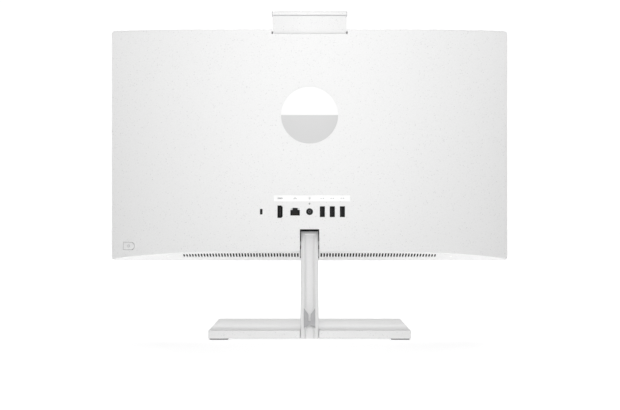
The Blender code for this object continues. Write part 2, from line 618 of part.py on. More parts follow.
def make_front():
    """Frame, screen glass, backlight and the steel chassis plate, from the front to the back."""
    centre_z = middle((LOW_Z, TOP_Z))
    outline = rounded(BODY_W, BODY_H, [CORNER_R] * 4)
    frame = plate(
        "front_frame", outline, (FRONT_Y, SPLIT_Y), (0, 0, centre_z), "black_plastic", DISPLAY
    )
    view_top = TOP_Z - TOP_BEZEL
    view_z = (view_top - VIEW_H, view_top)
    view = block("view_opening", (-VIEW_W / 2, VIEW_W / 2), (-FAR + FRONT_Y, FAR), view_z, None, DISPLAY)
    panel_x = VIEW_W / 2 + PANEL_BORDER - GAP
    panel_z = (view_z[0] - PANEL_BORDER + GAP, view_z[1] + PANEL_BORDER - GAP)
    seat_z = (panel_z[0] - GAP, panel_z[1] + GAP)
    panel_y = FRONT_Y + LIP_T
    seat = block("panel_seat", (-panel_x - GAP, panel_x + GAP), (panel_y, FAR), seat_z, None, DISPLAY)
    cut(frame, view, seat)
    glass = (panel_y + GAP, panel_y + GAP + GLASS_T)
    block("screen_glass", (-panel_x, panel_x), glass, panel_z, "screen", DISPLAY)
    lamp = (glass[1] + GAP, glass[1] + GAP + BACKLIGHT_T)
    block("backlight", (-panel_x, panel_x), lamp, panel_z, "backlight_case", DISPLAY)
    block(
        "chassis_plate",
        (-CHASSIS_W / 2, CHASSIS_W / 2),
        (CHASSIS_Y, CHASSIS_Y + CHASSIS_T),
        (centre_z - CHASSIS_H / 2, centre_z + CHASSIS_H / 2),
        "sheet_steel",
        DISPLAY,
    )


def socket(name, outline, hole, x, z, height, finish):
    """A socket whose shell follows the outline, with its hole in the cover. Returns it and the hole's cutter."""
    face = face_y(x, z + height / 2) - SOCKET_RECESS
    body = plate(name, outline, (ON_BOARD, face), (x, 0, z), finish, DISPLAY)
    opening = plate(f"{name}_hole", hole, (face - 4 * WALL, face + FAR), (x, 0, z), None, DISPLAY)
    return body, opening, face


def tongued_socket(name, width, height, x, z, radii, finish):
    """A metal shell with a tongue inside, open to the rear. Returns the hole's cutter."""
    outline = rounded(width, height, radii, 1)
    hole_w, hole_h = width + 2 * SOCKET_CLEAR, height + 2 * SOCKET_CLEAR
    hole = rounded(hole_w, hole_h, [radius + SOCKET_CLEAR for radius in radii], 1)
    shell, opening, face = socket(name, outline, hole, x, z, height, finish)
    inside_w, inside_h = width - 2 * SHELL_T, height - 2 * SHELL_T
    inner = rounded(inside_w, inside_h, [max(radius - SHELL_T, SHELL_T / 2) for radius in radii], 1)
    cavity = plate(f"{name}_cavity", inner, (face - CAVITY_D, face + FAR), (x, 0, z), None, DISPLAY)
    side = TONGUE_SIDE if name.startswith("data") else 0
    tongue = block(
        f"{name}_tongue",
        (x + side - TONGUE_T / 2, x + side + TONGUE_T / 2),
        (face - CAVITY_D - SHELL_T, face - 2 * SHELL_T),
        (z - inside_h / 2 + 2 * SHELL_T, z + inside_h / 2 - 2 * SHELL_T),
        None,
        DISPLAY,
    )
    cut(shell, cavity)
    join(shell, tongue)
    return opening


def make_sockets(cover):
    """The row of sockets in the middle of the cover, the lock slot and the status light over the row."""
    row = LOW_Z + ROW_H
    sharp = SHELL_T
    video_radii = [sharp, VIDEO_CHAMFER, VIDEO_CHAMFER, sharp]
    cut(cover, tongued_socket("video_socket", VIDEO_W, VIDEO_H, VIDEO_X, row, video_radii, "steel"))
    for number, x in enumerate(DATA_XS, 1):
        name = f"data_socket_{number}"
        cut(cover, tongued_socket(name, DATA_W, DATA_H, x, row, [sharp] * 4, "steel"))

    half_w, half_h, half_step = NETWORK_W / 2, NETWORK_H / 2, NETWORK_STEP_W / 2
    shoulder = half_h - NETWORK_STEP_H
    stepped = [
        (-half_w, -half_h),
        (half_w, -half_h),
        (half_w, shoulder),
        (half_step, shoulder),
        (half_step, half_h),
        (-half_step, half_h),
        (-half_step, shoulder),
        (-half_w, shoulder),
    ]
    face = face_y(NETWORK_X, row + half_h) - WALL - 4 * GAP
    half_case, high_case = half_w + NETWORK_WALL, half_h + NETWORK_WALL
    case = block(
        "network_socket",
        (NETWORK_X - half_case, NETWORK_X + half_case),
        (ON_BOARD, face),
        (row - high_case, row + high_case),
        "black_plastic",
        DISPLAY,
    )
    place = (NETWORK_X, 0, row)
    cut(case, plate("network_cavity", stepped, (face - NETWORK_DEPTH, face + FAR), place, None, DISPLAY))
    cut(cover, plate("network_hole", stepped, (face - GAP, face + FAR), place, None, DISPLAY))

    face = face_y(0, row + POWER_R) - SOCKET_RECESS
    barrel = rod("power_socket", POWER_R, face - ON_BOARD, (0, middle((ON_BOARD, face)), row), "Y",
                 "black_plastic", DISPLAY)
    well_r = POWER_R - 2 * SHELL_T
    well = rod("power_well", well_r, 2 * CAVITY_D, (0, face, row), "Y", None, DISPLAY)
    pin_span = (face - CAVITY_D - SHELL_T, face - CAVITY_D + PIN_L)
    pin = rod("power_pin", PIN_R, pin_span[1] - pin_span[0], (0, middle(pin_span), row), "Y", None, DISPLAY, 10)
    cut(barrel, well)
    join(barrel, pin)
    cut(cover, rod("power_hole", POWER_R + SOCKET_CLEAR, 6 * WALL, (0, face, row), "Y", None, DISPLAY))

    lock_y = face_y(LOCK_X, row + LOCK_PLATE / 2) - WALL - 4 * GAP
    half_plate = LOCK_PLATE / 2
    lock = block(
        "lock_plate", (LOCK_X - half_plate, LOCK_X + half_plate), (lock_y - WALL, lock_y),
        (row - half_plate, row + half_plate), "steel", DISPLAY,
    )
    lock_outline = rounded(LOCK_W, LOCK_H, [SHELL_T] * 4, 1)
    lock_span = (lock_y - 4 * WALL, lock_y + FAR)
    lock_hole = plate("lock_hole", lock_outline, lock_span, (LOCK_X, 0, row), None, DISPLAY)
    cut(lock, lock_hole)
    cut(cover, lock_hole)

    light_z = LOW_Z + LIGHT_H
    light_end = face_y(0, light_z) - SOCKET_RECESS
    light_span = (ON_BOARD, light_end)
    rod("status_light", LIGHT_R, light_end - ON_BOARD, (0, middle(light_span), light_z), "Y", "light", DISPLAY, 10)
    cut(cover, rod("light_hole", LIGHT_R + SOCKET_CLEAR, 6 * WALL, (0, light_end, light_z), "Y", None, DISPLAY, 12))


def make_outside_trim():
    """The socket label and the plain round badge, stuck to the cover and leaning with it."""
    label_z = LOW_Z + LABEL_Z
    lift = STUCK_GAP + LABEL_T / 2
    label = block(
        "socket_label",
        (LABEL_X - LABEL_W / 2, LABEL_X + LABEL_W / 2),
        (-LABEL_T / 2, LABEL_T / 2),
        (-LABEL_H / 2, LABEL_H / 2),
        "label",
        DISPLAY,
    )
    label.location = Vector((LABEL_X, face_y(0, label_z) + lift, label_z)) - HINGE
    label.rotation_euler.x = REAR_TILT
    badge_z = LOW_Z + BADGE_Z
    lift = STUCK_GAP + BADGE_T / 2
    place = (0, face_y(0, badge_z) + lift, badge_z)
    badge = rod("badge_disc", BADGE_R, BADGE_T, place, "Y", "mirror", DISPLAY, 64)
    badge.rotation_euler.x = REAR_TILT


def make_power_button(cover):
    """A D-shaped button low on the display's right side, which slides straight in, and its switch board."""
    x = BODY_W / 2 - BUTTON_SIDE
    z = LOW_Z + BUTTON_Z
    face = face_y(x, z)
    small, large = BUTTON_H / 12, BUTTON_H / 2.6
    outline = rounded(BUTTON_W, BUTTON_H, [small, large, large, small], 3)
    span = (face - BUTTON_LENGTH, face)
    moving = Body("button", (x, face, z), DISPLAY)
    button = plate("power_button", outline, span, (x, 0, z), "speckled_white", moving)
    for vertex in button.data.vertices:
        if vertex.co.y > 0:
            at_x, at_z = vertex.co.x + x, vertex.co.z + z
            vertex.co.y = face_y(at_x, at_z) + BUTTON_PROUD - middle(span)
    clear = BUTTON_CLEAR
    hole_radii = [small + clear, large + clear, large + clear, small + clear]
    hole = rounded(BUTTON_W + 2 * clear, BUTTON_H + 2 * clear, hole_radii, 3)
    hole_span = (face - 2 * BUTTON_LENGTH, face + FAR)
    cut(cover, plate("button_hole", hole, hole_span, (x, 0, z), None, DISPLAY))

    board_y = (BEHIND_CHASSIS, BEHIND_CHASSIS + CHASSIS_T)
    board = block(
        "button_board", (x - BUTTON_W / 2, x + BUTTON_W / 2), board_y,
        (z - BUTTON_H / 2, z + BUTTON_H / 2), "circuit_board", DISPLAY,
    )
    dome_end = span[0] - BUTTON_TRAVEL - GAP
    dome = rod(
        "switch_dome", BUTTON_H / 4, dome_end - board_y[0] - GAP,
        (x, middle((board_y[0] + GAP, dome_end)), z), "Y", None, DISPLAY, 12,
    )
    join(board, dome)


def make_camera(cover):
    """The pop-up camera, its cap, window and lens, and the bay, spring and latch that it slides in."""
    rear_y = CAMERA_Y + CAMERA_T
    cap_z = (CAMERA_TOP - CAP_H, CAMERA_TOP)
    cap_rear = face_y(0, TOP_Z)
    cap_y = (CAMERA_Y - CAP_FRONT, cap_rear)
    cap = block("camera_cap", (-CAP_W / 2, CAP_W / 2), cap_y, cap_z, "speckled_white", CAMERA)
    soften(cap, CAP_CLEAR)
    high = cap_z[0] - GAP
    low = high - CAMERA_H
    half = CAMERA_W / 2
    housing = block("camera_housing", (-half, half), (CAMERA_Y, rear_y), (low, high), "speckled_white", CAMERA)
    window_z = (high - WINDOW_H - CAMERA_WALL, high - CAMERA_WALL)
    window_x = WINDOW_W / 2
    pocket = block(
        "camera_pocket",
        (-window_x - GAP, window_x + GAP),
        (CAMERA_Y - FAR, rear_y - 2 * CAMERA_WALL),
        (window_z[0] - GAP, window_z[1] + GAP),
        None,
        CAMERA,
    )
    cut(housing, pocket)
    window_y = (CAMERA_Y + GAP, CAMERA_Y + GAP + WINDOW_T)
    block("camera_window", (-window_x, window_x), window_y, window_z, "black_gloss", CAMERA)
    lens_z = middle(window_z)
    lens_y = window_y[1] + GAP
    rod("camera_lens", LENS_R, 5 * LENS_T, (0, lens_y + 2.5 * LENS_T, lens_z), "Y", "lens", CAMERA, 20)
    board_y = lens_y + 5 * LENS_T + GAP
    block(
        "camera_board", (-window_x * 0.8, window_x * 0.8), (board_y, board_y + CHASSIS_T),
        (window_z[0] + CAMERA_WALL, window_z[1] - CAMERA_WALL), "circuit_board", CAMERA,
    )

    lowest = low - CAMERA_RISE - CAMERA_OVERTRAVEL
    bay_low = lowest - BAY_DEPTH
    bay_high = TOP_Z - WALL - CAP_H - CAMERA_OVERTRAVEL
    inside = half + CAP_CLEAR
    bay = block(
        "camera_bay",
        (-inside - BAY_SIDE, inside + BAY_SIDE),
        (CAMERA_Y - CAP_CLEAR - BAY_WALL, rear_y),
        (bay_low, bay_high),
        "black_plastic",
        DISPLAY,
    )
    slide = block(
        "bay_slide", (-inside, inside), (CAMERA_Y - CAP_CLEAR, FAR), (bay_low + BAY_LEDGE, TOP_Z + FAR), None, DISPLAY
    )
    cut(bay, slide)
    ledge = bay_low + BAY_LEDGE + GAP
    centre_y = middle((CAMERA_Y, rear_y))
    spring_low = ledge + SPRING_WIRE
    spring_high = low - GAP - SPRING_WIRE
    steps = SPRING_TURNS * 8
    points = []
    for step in range(steps + 1):
        angle = step / 8 * 2 * pi
        rise = spring_low + (spring_high - spring_low) * step / steps
        points.append((SPRING_R * cos(angle), centre_y + SPRING_R * sin(angle), rise))
    tube("camera_spring", points, SPRING_WIRE, "steel", DISPLAY)
    latch_z = (ledge, ledge + LATCH_H)
    latch_y = (CAMERA_Y + GAP, CAMERA_Y + GAP + LATCH_D)
    block("camera_latch", (LATCH_X, LATCH_X + LATCH_W), latch_y, latch_z, "clip_grey", DISPLAY)


def on_board(name, width, height, thickness, x, low, finish):
    """A flat part lying on the main board."""
    xs = (x - width / 2, x + width / 2)
    return block(name, xs, (ON_BOARD, ON_BOARD + thickness), (LOW_Z + low, LOW_Z + low + height), finish, DISPLAY)


def make_electronics():
    """Main board, memory, storage, radio card, battery cell, drive with its caddy, and the screen's ribbon."""
    board_z = (LOW_Z + BOARD_LOW, LOW_Z + BOARD_LOW + BOARD_H)
    board_x = (BOARD_X - BOARD_W / 2, BOARD_X + BOARD_W / 2)
    block("main_board", board_x, (BOARD_Y, BOARD_Y + BOARD_T), board_z, "circuit_board", DISPLAY)
    for number, low in enumerate(MEMORY_LOWS, 1):
        on_board(f"memory_{number}", MEMORY_W, MEMORY_H, MEMORY_T, MEMORY_X, low, "circuit_board")
    on_board("solid_state_drive", SSD_W, SSD_H, SSD_T, SSD_X, SSD_LOW, "black_plastic")
    on_board("radio_card", RADIO_W, RADIO_H, RADIO_T, RADIO_X, RADIO_LOW, "circuit_board")
    cell_y = ON_BOARD + CELL_T / 2
    rod("clock_cell", CELL_R, CELL_T, (CELL_X, cell_y, LOW_Z + CELL_Z), "Y", "steel", DISPLAY)
    on_board("cold_plate", COLD_W, COLD_W, COLD_T, COLD_X, COLD_Z - COLD_W / 2, "copper")

    half_w, half_h = DRIVE_W / 2, DRIVE_H / 2
    drive_z = LOW_Z + DRIVE_Z
    tray_y = BEHIND_CHASSIS
    wall = CADDY_T + GAP
    caddy = block(
        "drive_caddy",
        (DRIVE_X - half_w - wall, DRIVE_X + half_w + wall),
        (tray_y, tray_y + CADDY_T + DRIVE_T),
        (drive_z - half_h - wall, drive_z + half_h + wall),
        "sheet_steel",
        DISPLAY,
    )
    room = block(
        "caddy_room",
        (DRIVE_X - half_w - GAP, DRIVE_X + half_w + GAP),
        (tray_y + CADDY_T, FAR),
        (drive_z - half_h - GAP, drive_z + half_h + GAP),
        None,
        DISPLAY,
    )
    cut(caddy, room)
    drive_y = tray_y + CADDY_T + GAP
    block(
        "hard_drive", (DRIVE_X - half_w, DRIVE_X + half_w), (drive_y, drive_y + DRIVE_T),
        (drive_z - half_h, drive_z + half_h), "aluminium", DISPLAY,
    )

    top = board_z[1]
    near_board, near_plate = BOARD_Y + BOARD_T + GAP + RIBBON_T, BEHIND_CHASSIS + RIBBON_T
    path = [
        (near_board, top - RIBBON_LAP),
        (near_board, top + RIBBON_T + GAP),
        (near_plate, top + RIBBON_LAP),
        (near_plate, top + 2 * RIBBON_LAP),
    ]
    made = bmesh.new()
    side = [made.verts.new((RIBBON_X, y, z)) for y, z in path]
    edges = [made.edges.new(pair) for pair in zip(side, side[1:])]
    swept = bmesh.ops.extrude_edge_only(made, edges=edges)["geom"]
    for vertex in swept:
        if isinstance(vertex, bmesh.types.BMVert):
            vertex.co.x += RIBBON_W
    ribbon = DISPLAY.take_surface(made, "screen_ribbon", "ribbon")
    sheet = ribbon.modifiers.new("Sheet", "SOLIDIFY")
    sheet.thickness = RIBBON_T
    sheet.offset = 0


def make_cooling():
    """Fan housing with its rotor, the fin stack at its outlet and the heat pipe from the processor."""
    fan_z = LOW_Z + FAN_Z
    half = FAN_W / 2
    fan_y = (BEHIND_CHASSIS, BEHIND_CHASSIS + FAN_T)
    housing = block(
        "fan_housing", (FAN_X - half, FAN_X + half), fan_y, (fan_z - half, fan_z + half), "black_plastic", DISPLAY
    )
    well_r = ROTOR_R + ROTOR_CLEAR
    well_y = fan_y[0] + FAN_WALL
    well_length = FAN_T + FAR
    well = rod("fan_well", well_r, well_length, (FAN_X, well_y + well_length / 2, fan_z), "Y", None, DISPLAY, 40)
    outlet = block(
        "fan_outlet", (FAN_X - well_r + FAN_WALL, FAN_X + well_r - FAN_WALL), (well_y, FAR),
        (fan_z - half - FAR, fan_z), None, DISPLAY,
    )
    cut(housing, well, outlet)

    turning = Body("rotor", (FAN_X, well_y, fan_z), DISPLAY)
    outline = []
    for blade in range(BLADES):
        angle = 2 * pi * blade / BLADES
        thin = BLADE_T / 2
        corners = ((HUB_R, -thin, 0), (ROTOR_R, -thin, 0.35), (ROTOR_R, thin, 0.35), (HUB_R, thin, 0))
        for radius, offset, lag in corners:
            turn = angle + lag + offset / radius
            outline.append((radius * cos(turn), radius * sin(turn)))
    rotor_span = (well_y + ROTOR_CLEAR / 2, well_y + ROTOR_CLEAR / 2 + ROTOR_T)
    plate("fan_rotor", outline, rotor_span, (FAN_X, 0, fan_z), "black_plastic", turning)

    top = fan_z - half - GAP
    low = top - FIN_STACK_H
    half_stack = FIN_STACK_W / 2
    count = int(FIN_STACK_W / FIN_PITCH)
    comb = [(half_stack - (count - 1) * FIN_PITCH - FIN_T, 0), (half_stack, 0)]
    for fin in range(count):
        right = half_stack - fin * FIN_PITCH
        left = right - FIN_T
        comb += [(right, FIN_STACK_H), (left, FIN_STACK_H)]
        if fin < count - 1:
            comb += [(left, FIN_ROOT), (right - FIN_PITCH, FIN_ROOT)]
    plate("fin_stack", comb, fan_y, (FAN_X, 0, low), "copper", DISPLAY)

    over_plate = ON_BOARD + COLD_T + GAP + PIPE_R
    over_fins = fan_y[1] + GAP + PIPE_R
    cold_z, fins_z = LOW_Z + COLD_Z, middle((low, top))
    route = [
        (COLD_X - COLD_W / 2, over_plate, cold_z),
        (COLD_X + COLD_W / 2, over_plate, cold_z),
        (COLD_X + COLD_W, over_plate, cold_z - COLD_W / 4),
        (FAN_X - half_stack - COLD_W / 3, middle((over_plate, over_fins)) + PIPE_R, fins_z + COLD_W / 4),
        (FAN_X - half_stack, over_fins, fins_z),
        (FAN_X + half_stack, over_fins, fins_z),
    ]
    tube("heat_pipe", route, PIPE_R, "copper", DISPLAY)


def make_speakers():
    """A speaker box in each lower corner, with a round recess for its cone in the underside."""
    low = LOW_Z + SPEAKER_LOW
    for side, sign in (("left", -1), ("right", 1)):
        x = sign * (BODY_W / 2 - SPEAKER_SIDE)
        speaker = block(
            f"speaker_{side}", (x - SPEAKER_W / 2, x + SPEAKER_W / 2),
            (BEHIND_CHASSIS, BEHIND_CHASSIS + SPEAKER_D), (low, low + SPEAKER_H), "black_plastic", DISPLAY,
        )
        soften(speaker, WALL / 2, 1)
        recess = rod(
            f"cone_{side}", min(CONE_R, SPEAKER_D / 2 - WALL / 2), 2 * WALL,
            (x, BEHIND_CHASSIS + SPEAKER_D / 2, low), "Z", None, DISPLAY, 20,
        )
        cut(speaker, recess)


clear_scene()
PARTS = new_collection("all_in_one_computer")
CUTTERS = new_collection("cutters")
STAND = Body("stand", (0, 0, 0))
POST = Body("post", (0, REAR_Y, 0), STAND, LEAN)
DISPLAY = Body("display", HINGE, STAND)
CAMERA = Body("camera", (0, CAMERA_Y, CAMERA_TOP), DISPLAY)
SCREW_HOLES = []

make_post(make_base())
make_hinge()
rear_cover = make_rear_cover()
make_front()
make_sockets(rear_cover)
make_outside_trim()
make_power_button(rear_cover)
make_camera(rear_cover)
make_electronics()
make_cooling()
make_speakers()
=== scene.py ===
"""Looks of an all-in-one desktop computer on a leaning single-post stand.

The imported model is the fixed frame: metres, +Z up, the screen faces -Y and the rear cover +Y.
Each sub-assembly is a class that holds its own sizes, builds its meshes round the frame's nodes
and dresses them with a finish. Pieces that move ride on the body that the frame gives them.
"""

import json
import logging
from collections.abc import Callable, Iterable, Sequence
from dataclasses import dataclass
from enum import Enum
from math import atan, cos, pi, radians, sin, sqrt, tan

import bmesh
import bpy
from mathutils import Matrix, Vector


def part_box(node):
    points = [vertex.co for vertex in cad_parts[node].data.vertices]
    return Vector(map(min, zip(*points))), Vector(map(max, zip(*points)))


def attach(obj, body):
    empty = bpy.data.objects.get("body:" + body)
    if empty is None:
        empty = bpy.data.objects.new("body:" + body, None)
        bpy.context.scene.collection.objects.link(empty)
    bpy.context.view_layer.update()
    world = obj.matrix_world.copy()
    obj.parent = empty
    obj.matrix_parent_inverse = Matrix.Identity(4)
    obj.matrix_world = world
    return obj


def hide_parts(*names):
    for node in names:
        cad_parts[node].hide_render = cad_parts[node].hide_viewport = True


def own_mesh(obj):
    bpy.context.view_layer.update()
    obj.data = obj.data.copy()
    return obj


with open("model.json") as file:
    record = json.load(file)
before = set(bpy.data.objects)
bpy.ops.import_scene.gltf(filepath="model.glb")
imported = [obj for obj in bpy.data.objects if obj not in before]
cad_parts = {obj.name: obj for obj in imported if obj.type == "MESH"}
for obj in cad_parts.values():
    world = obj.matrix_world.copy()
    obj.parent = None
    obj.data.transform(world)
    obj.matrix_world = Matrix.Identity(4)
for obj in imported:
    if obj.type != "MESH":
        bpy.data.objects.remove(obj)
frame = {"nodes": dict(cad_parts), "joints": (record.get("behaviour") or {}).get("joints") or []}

LOG = logging.getLogger("desktop_computer")
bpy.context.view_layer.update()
FAR = 0.08
GAP = 0.0003
SIDES = (("left", -1), ("right", 1))

Span = tuple[float, float]
Point = tuple[float, float, float]
Colour = tuple[float, float, float]
Test = Callable[[object], bool]


class Side(Enum):
    """Directions that a face can look in."""

    LEFT = (-1, 0, 0)
    FRONT = (0, -1, 0)
    REAR = (0, 1, 0)
    DOWN = (0, 0, -1)


class Axis(Enum):
    """Directions that a bar or an edge can lie in."""

    X = (1, 0, 0)
    Y = (0, 1, 0)
    Z = (0, 0, 1)

    @property
    def turn(self) -> tuple[float, float, float]:
        """The rotation that lays an upright bar along this axis."""
        return {Axis.X: (0, pi / 2, 0), Axis.Y: (pi / 2, 0, 0), Axis.Z: (0, 0, 0)}[self]


class Group(Enum):
    """The frame's bodies."""

    STAND = "stand"
    DISPLAY = "display"
    CAMERA = "camera"
    BUTTON = "button"
    FAN = "fan"


# ---------------------------------------------------------------- shader nodes


class Value:
    """A shader socket that takes part in arithmetic by adding Math nodes to its tree."""

    def __init__(self, tree: bpy.types.NodeTree, socket: bpy.types.NodeSocket) -> None:
        """Wraps an output socket.

        Args:
            tree: the node tree that the socket belongs to.
            socket: the output to wrap.
        """
        self.tree = tree
        self.socket = socket

    def combine(self, operation: str, first: "Value | float", second: "Value | float" = 0.0) -> "Value":
        """Adds one Math node.

        Args:
            operation: the Math node's operation.
            first: left operand.
            second: right operand.

        Returns:
            The node's output.
        """
        made = self.tree.nodes.new("ShaderNodeMath")
        made.operation = operation
        for socket, given in zip(made.inputs, (first, second)):
            if isinstance(given, Value):
                self.tree.links.new(given.socket, socket)
            else:
                socket.default_value = given
        return Value(self.tree, made.outputs[0])

    def __add__(self, other: "Value | float") -> "Value":
        """Sum."""
        return self.combine("ADD", self, other)

    def __radd__(self, other: float) -> "Value":
        """Sum with a number on the left."""
        return self.combine("ADD", other, self)

    def __sub__(self, other: "Value | float") -> "Value":
        """Difference."""
        return self.combine("SUBTRACT", self, other)

    def __rsub__(self, other: float) -> "Value":
        """Difference from a number."""
        return self.combine("SUBTRACT", other, self)

    def __mul__(self, other: "Value | float") -> "Value":
        """Product."""
        return self.combine("MULTIPLY", self, other)

    def __rmul__(self, other: float) -> "Value":
        """Product with a number on the left."""
        return self.combine("MULTIPLY", other, self)

    def __lt__(self, other: float) -> "Value":
        """1 where the value is less than the other, else 0."""
        return self.combine("LESS_THAN", self, other)

    def __gt__(self, other: float) -> "Value":
        """1 where the value is more than the other, else 0."""
        return self.combine("GREATER_THAN", self, other)

    def __abs__(self) -> "Value":
        """Size without sign."""
        return self.combine("ABSOLUTE", self)

    def __mod__(self, other: float) -> "Value":
        """Remainder, always from 0 up to the other."""
        return self.combine("FLOORED_MODULO", self, other)

    def root(self) -> "Value":
        """Square root."""
        return self.combine("SQRT", self)


class Shader:
    """A material under construction round one Principled BSDF."""

    def __init__(self, name: str, **uniform: float | Colour) -> None:
        """Starts a material.

        Args:
            name: the material's name.
            uniform: values that are the same all over, set on the shader's own sockets.
        """
        self.material = bpy.data.materials.new(name)
        self.material.use_nodes = True
        self.tree = self.material.node_tree
        self.surface = self.tree.nodes["Principled BSDF"]
        for socket, given in uniform.items():
            self.fix(socket.replace("_", " ").title().replace("Ior", "IOR"), given)
        self.place = self.node("ShaderNodeTexCoord", output="Object")

    def fix(self, socket: str, given: float | Colour) -> None:
        """Sets a uniform value on the surface.

        Args:
            socket: the socket's name.
            given: a number, or a colour of three numbers.
        """
        target = self.surface.inputs[socket]
        target.default_value = (*given, 1.0) if isinstance(given, tuple) else given

    def node(
        self,
        kind: str,
        settings: dict[str, object] | None = None,
        inputs: dict[str | int, object] | None = None,
        output: str | int = 0,
    ) -> Value:
        """Adds any node.

        Args:
            kind: the node's type name.
            settings: attributes to set first; "stops" fills a colour ramp.
            inputs: values or links of its sockets.
            output: which output to hand back.

        Returns:
            The chosen output.
        """
        made = self.tree.nodes.new(kind)
        for key, given in (settings or {}).items():
            if key == "stops":
                self.fill_ramp(made.color_ramp, given)
            else:
                setattr(made, key, given)
        for key, given in (inputs or {}).items():
            if isinstance(given, Value):
                self.tree.links.new(given.socket, made.inputs[key])
            else:
                made.inputs[key].default_value = given
        return Value(self.tree, made.outputs[output])

    def fill_ramp(self, ramp: bpy.types.ColorRamp, stops: Sequence[tuple[float, float]]) -> None:
        """Places the stops of a ramp of greys.

        Args:
            ramp: the ramp to fill.
            stops: position and brightness of each stop.
        """
        while len(ramp.elements) < len(stops):
            ramp.elements.new(1.0)
        for element, (position, brightness) in zip(ramp.elements, stops):
            element.position = position
            element.color = (brightness, brightness, brightness, 1.0)

    def axis(self, name: str) -> Value:
        """One coordinate of the object's own space."""
        return self.node("ShaderNodeSeparateXYZ", inputs={0: self.place}, output=name)

    def noise(self, scale: float, detail: float = 2.0, stretch: Point = (1, 1, 1)) -> Value:
        """Fractal noise.

        Args:
            scale: waves in a metre.
            detail: how many octaves.
            stretch: scale along each axis.

        Returns:
            The noise, near 0.5.
        """
        place = self.node("ShaderNodeMapping", inputs={"Vector": self.place, "Scale": stretch})
        return self.node("ShaderNodeTexNoise", inputs={"Vector": place, "Scale": scale, "Detail": detail})

    def cells(self, scale: float, output: str = "Distance") -> Value:
        """Distance from the nearest of scattered points, or another output of those cells."""
        return self.node("ShaderNodeTexVoronoi", inputs={"Vector": self.place, "Scale": scale}, output=output)

    def ramp(self, given: Value, *stops: tuple[float, float]) -> Value:
        """Maps a value through stops of position and brightness."""
        return self.node("ShaderNodeValToRGB", {"stops": stops}, {"Fac": given})

    def blend(self, share: Value, first: Colour | Value, second: Colour | Value) -> Value:
        """Mixes two colours.

        Args:
            share: how much of the second.
            first: colour where the share is 0.
            second: colour where the share is 1.

        Returns:
            The mixed colour.
        """
        given = [(*c, 1.0) if isinstance(c, tuple) else c for c in (first, second)]
        inputs = {0: share, 6: given[0], 7: given[1]}
        return self.node("ShaderNodeMix", {"data_type": "RGBA"}, inputs, output=2)

    def plug(self, socket: str, given: Value) -> None:
        """Feeds a value that changes over the surface into the named socket."""
        self.tree.links.new(given.socket, self.surface.inputs[socket])

    def raise_by(self, height: Value, distance: float, strength: float = 1.0) -> None:
        """Feeds a height through a Bump node into the surface's normal.

        Args:
            height: the height, 0 to 1.
            distance: real height in metres.
            strength: share of the effect.
        """
        settings = {"Height": height, "Distance": distance, "Strength": strength}
        self.plug("Normal", self.node("ShaderNodeBump", inputs=settings))


# -------------------------------------------------------------------- finishes


@dataclass(frozen=True)
class SpeckledPlastic:
    """Satin white plastic with fine grey flecks moulded through it."""

    name: str
    slot: str
    colour: Colour
    fleck: Colour
    roughness: float = 0.42
    fleck_scale: float = 330.0
    fleck_size: float = 0.17

    def make(self) -> bpy.types.Material:
        """Builds the material: two sizes of fleck, a faint mottle and a fine moulded grain."""
        paint = Shader(self.name, specular_ior_level=0.35)
        size = self.fleck_size
        fine = paint.ramp(paint.cells(self.fleck_scale), (0.0, 1.0), (size, 1.0), (size * 1.5, 0.0))
        strength = paint.ramp(paint.noise(self.fleck_scale * 0.9, 1.0), (0.42, 0.0), (0.62, 1.0))
        large = paint.ramp(paint.cells(self.fleck_scale * 0.4), (0.0, 1.0), (0.08, 1.0), (0.13, 0.0))
        mottle = paint.ramp(paint.noise(700.0, 3.0), (0.3, 0.0), (0.7, 1.0))
        pale = tuple(c * 0.955 for c in self.colour)
        ground = paint.blend(mottle, self.colour, pale)
        flecked = paint.blend(fine * strength * 0.35 + large * 0.14, ground, self.fleck)
        paint.plug("Base Color", flecked)
        grain = paint.noise(2600.0, 2.0)
        paint.plug("Roughness", grain * 0.12 + (self.roughness - 0.06))
        paint.raise_by(grain, 0.00004, 0.35)
        return paint.material


@dataclass(frozen=True)
class MouldedPlastic:
    """Plain moulded plastic or rubber with a fine grain."""

    name: str
    slot: str
    colour: Colour
    roughness: float
    grain: float = 1500.0
    depth: float = 0.00005
    coat: float = 0.0

    def make(self) -> bpy.types.Material:
        """Builds the material: slight shifts of shade, and grain in the gloss and the relief."""
        paint = Shader(self.name, coat_weight=self.coat, coat_roughness=0.08)
        shade = paint.ramp(paint.noise(90.0, 3.0), (0.3, 0.0), (0.7, 1.0))
        light = tuple(min(1.0, c * 1.06 + 0.003) for c in self.colour)
        paint.plug("Base Color", paint.blend(shade, self.colour, light))
        grain = paint.noise(self.grain, 3.0)
        paint.plug("Roughness", grain * 0.16 + (self.roughness - 0.08))
        paint.raise_by(grain, self.depth, 0.4)
        return paint.material


@dataclass(frozen=True)
class WorkedMetal:
    """Metal with the fine lines that rolling or brushing leaves."""

    name: str
    slot: str
    colour: Colour
    roughness: float
    stretch: Point = (1, 1, 18)
    lines: float = 260.0
    metallic: float = 1.0

    def make(self) -> bpy.types.Material:
        """Builds the material: lines in colour, gloss and relief, over a slow change of tone."""
        paint = Shader(self.name, metallic=self.metallic)
        lines = paint.noise(self.lines, 3.0, self.stretch)
        tone = paint.ramp(paint.noise(35.0, 2.0), (0.35, 0.0), (0.65, 1.0))
        dark = tuple(c * 0.86 for c in self.colour)
        paint.plug("Base Color", paint.blend(tone * 0.5 + lines * 0.5, self.colour, dark))
        paint.plug("Roughness", lines * 0.2 + (self.roughness - 0.1))
        paint.raise_by(lines, 0.00002, 0.3)
        return paint.material


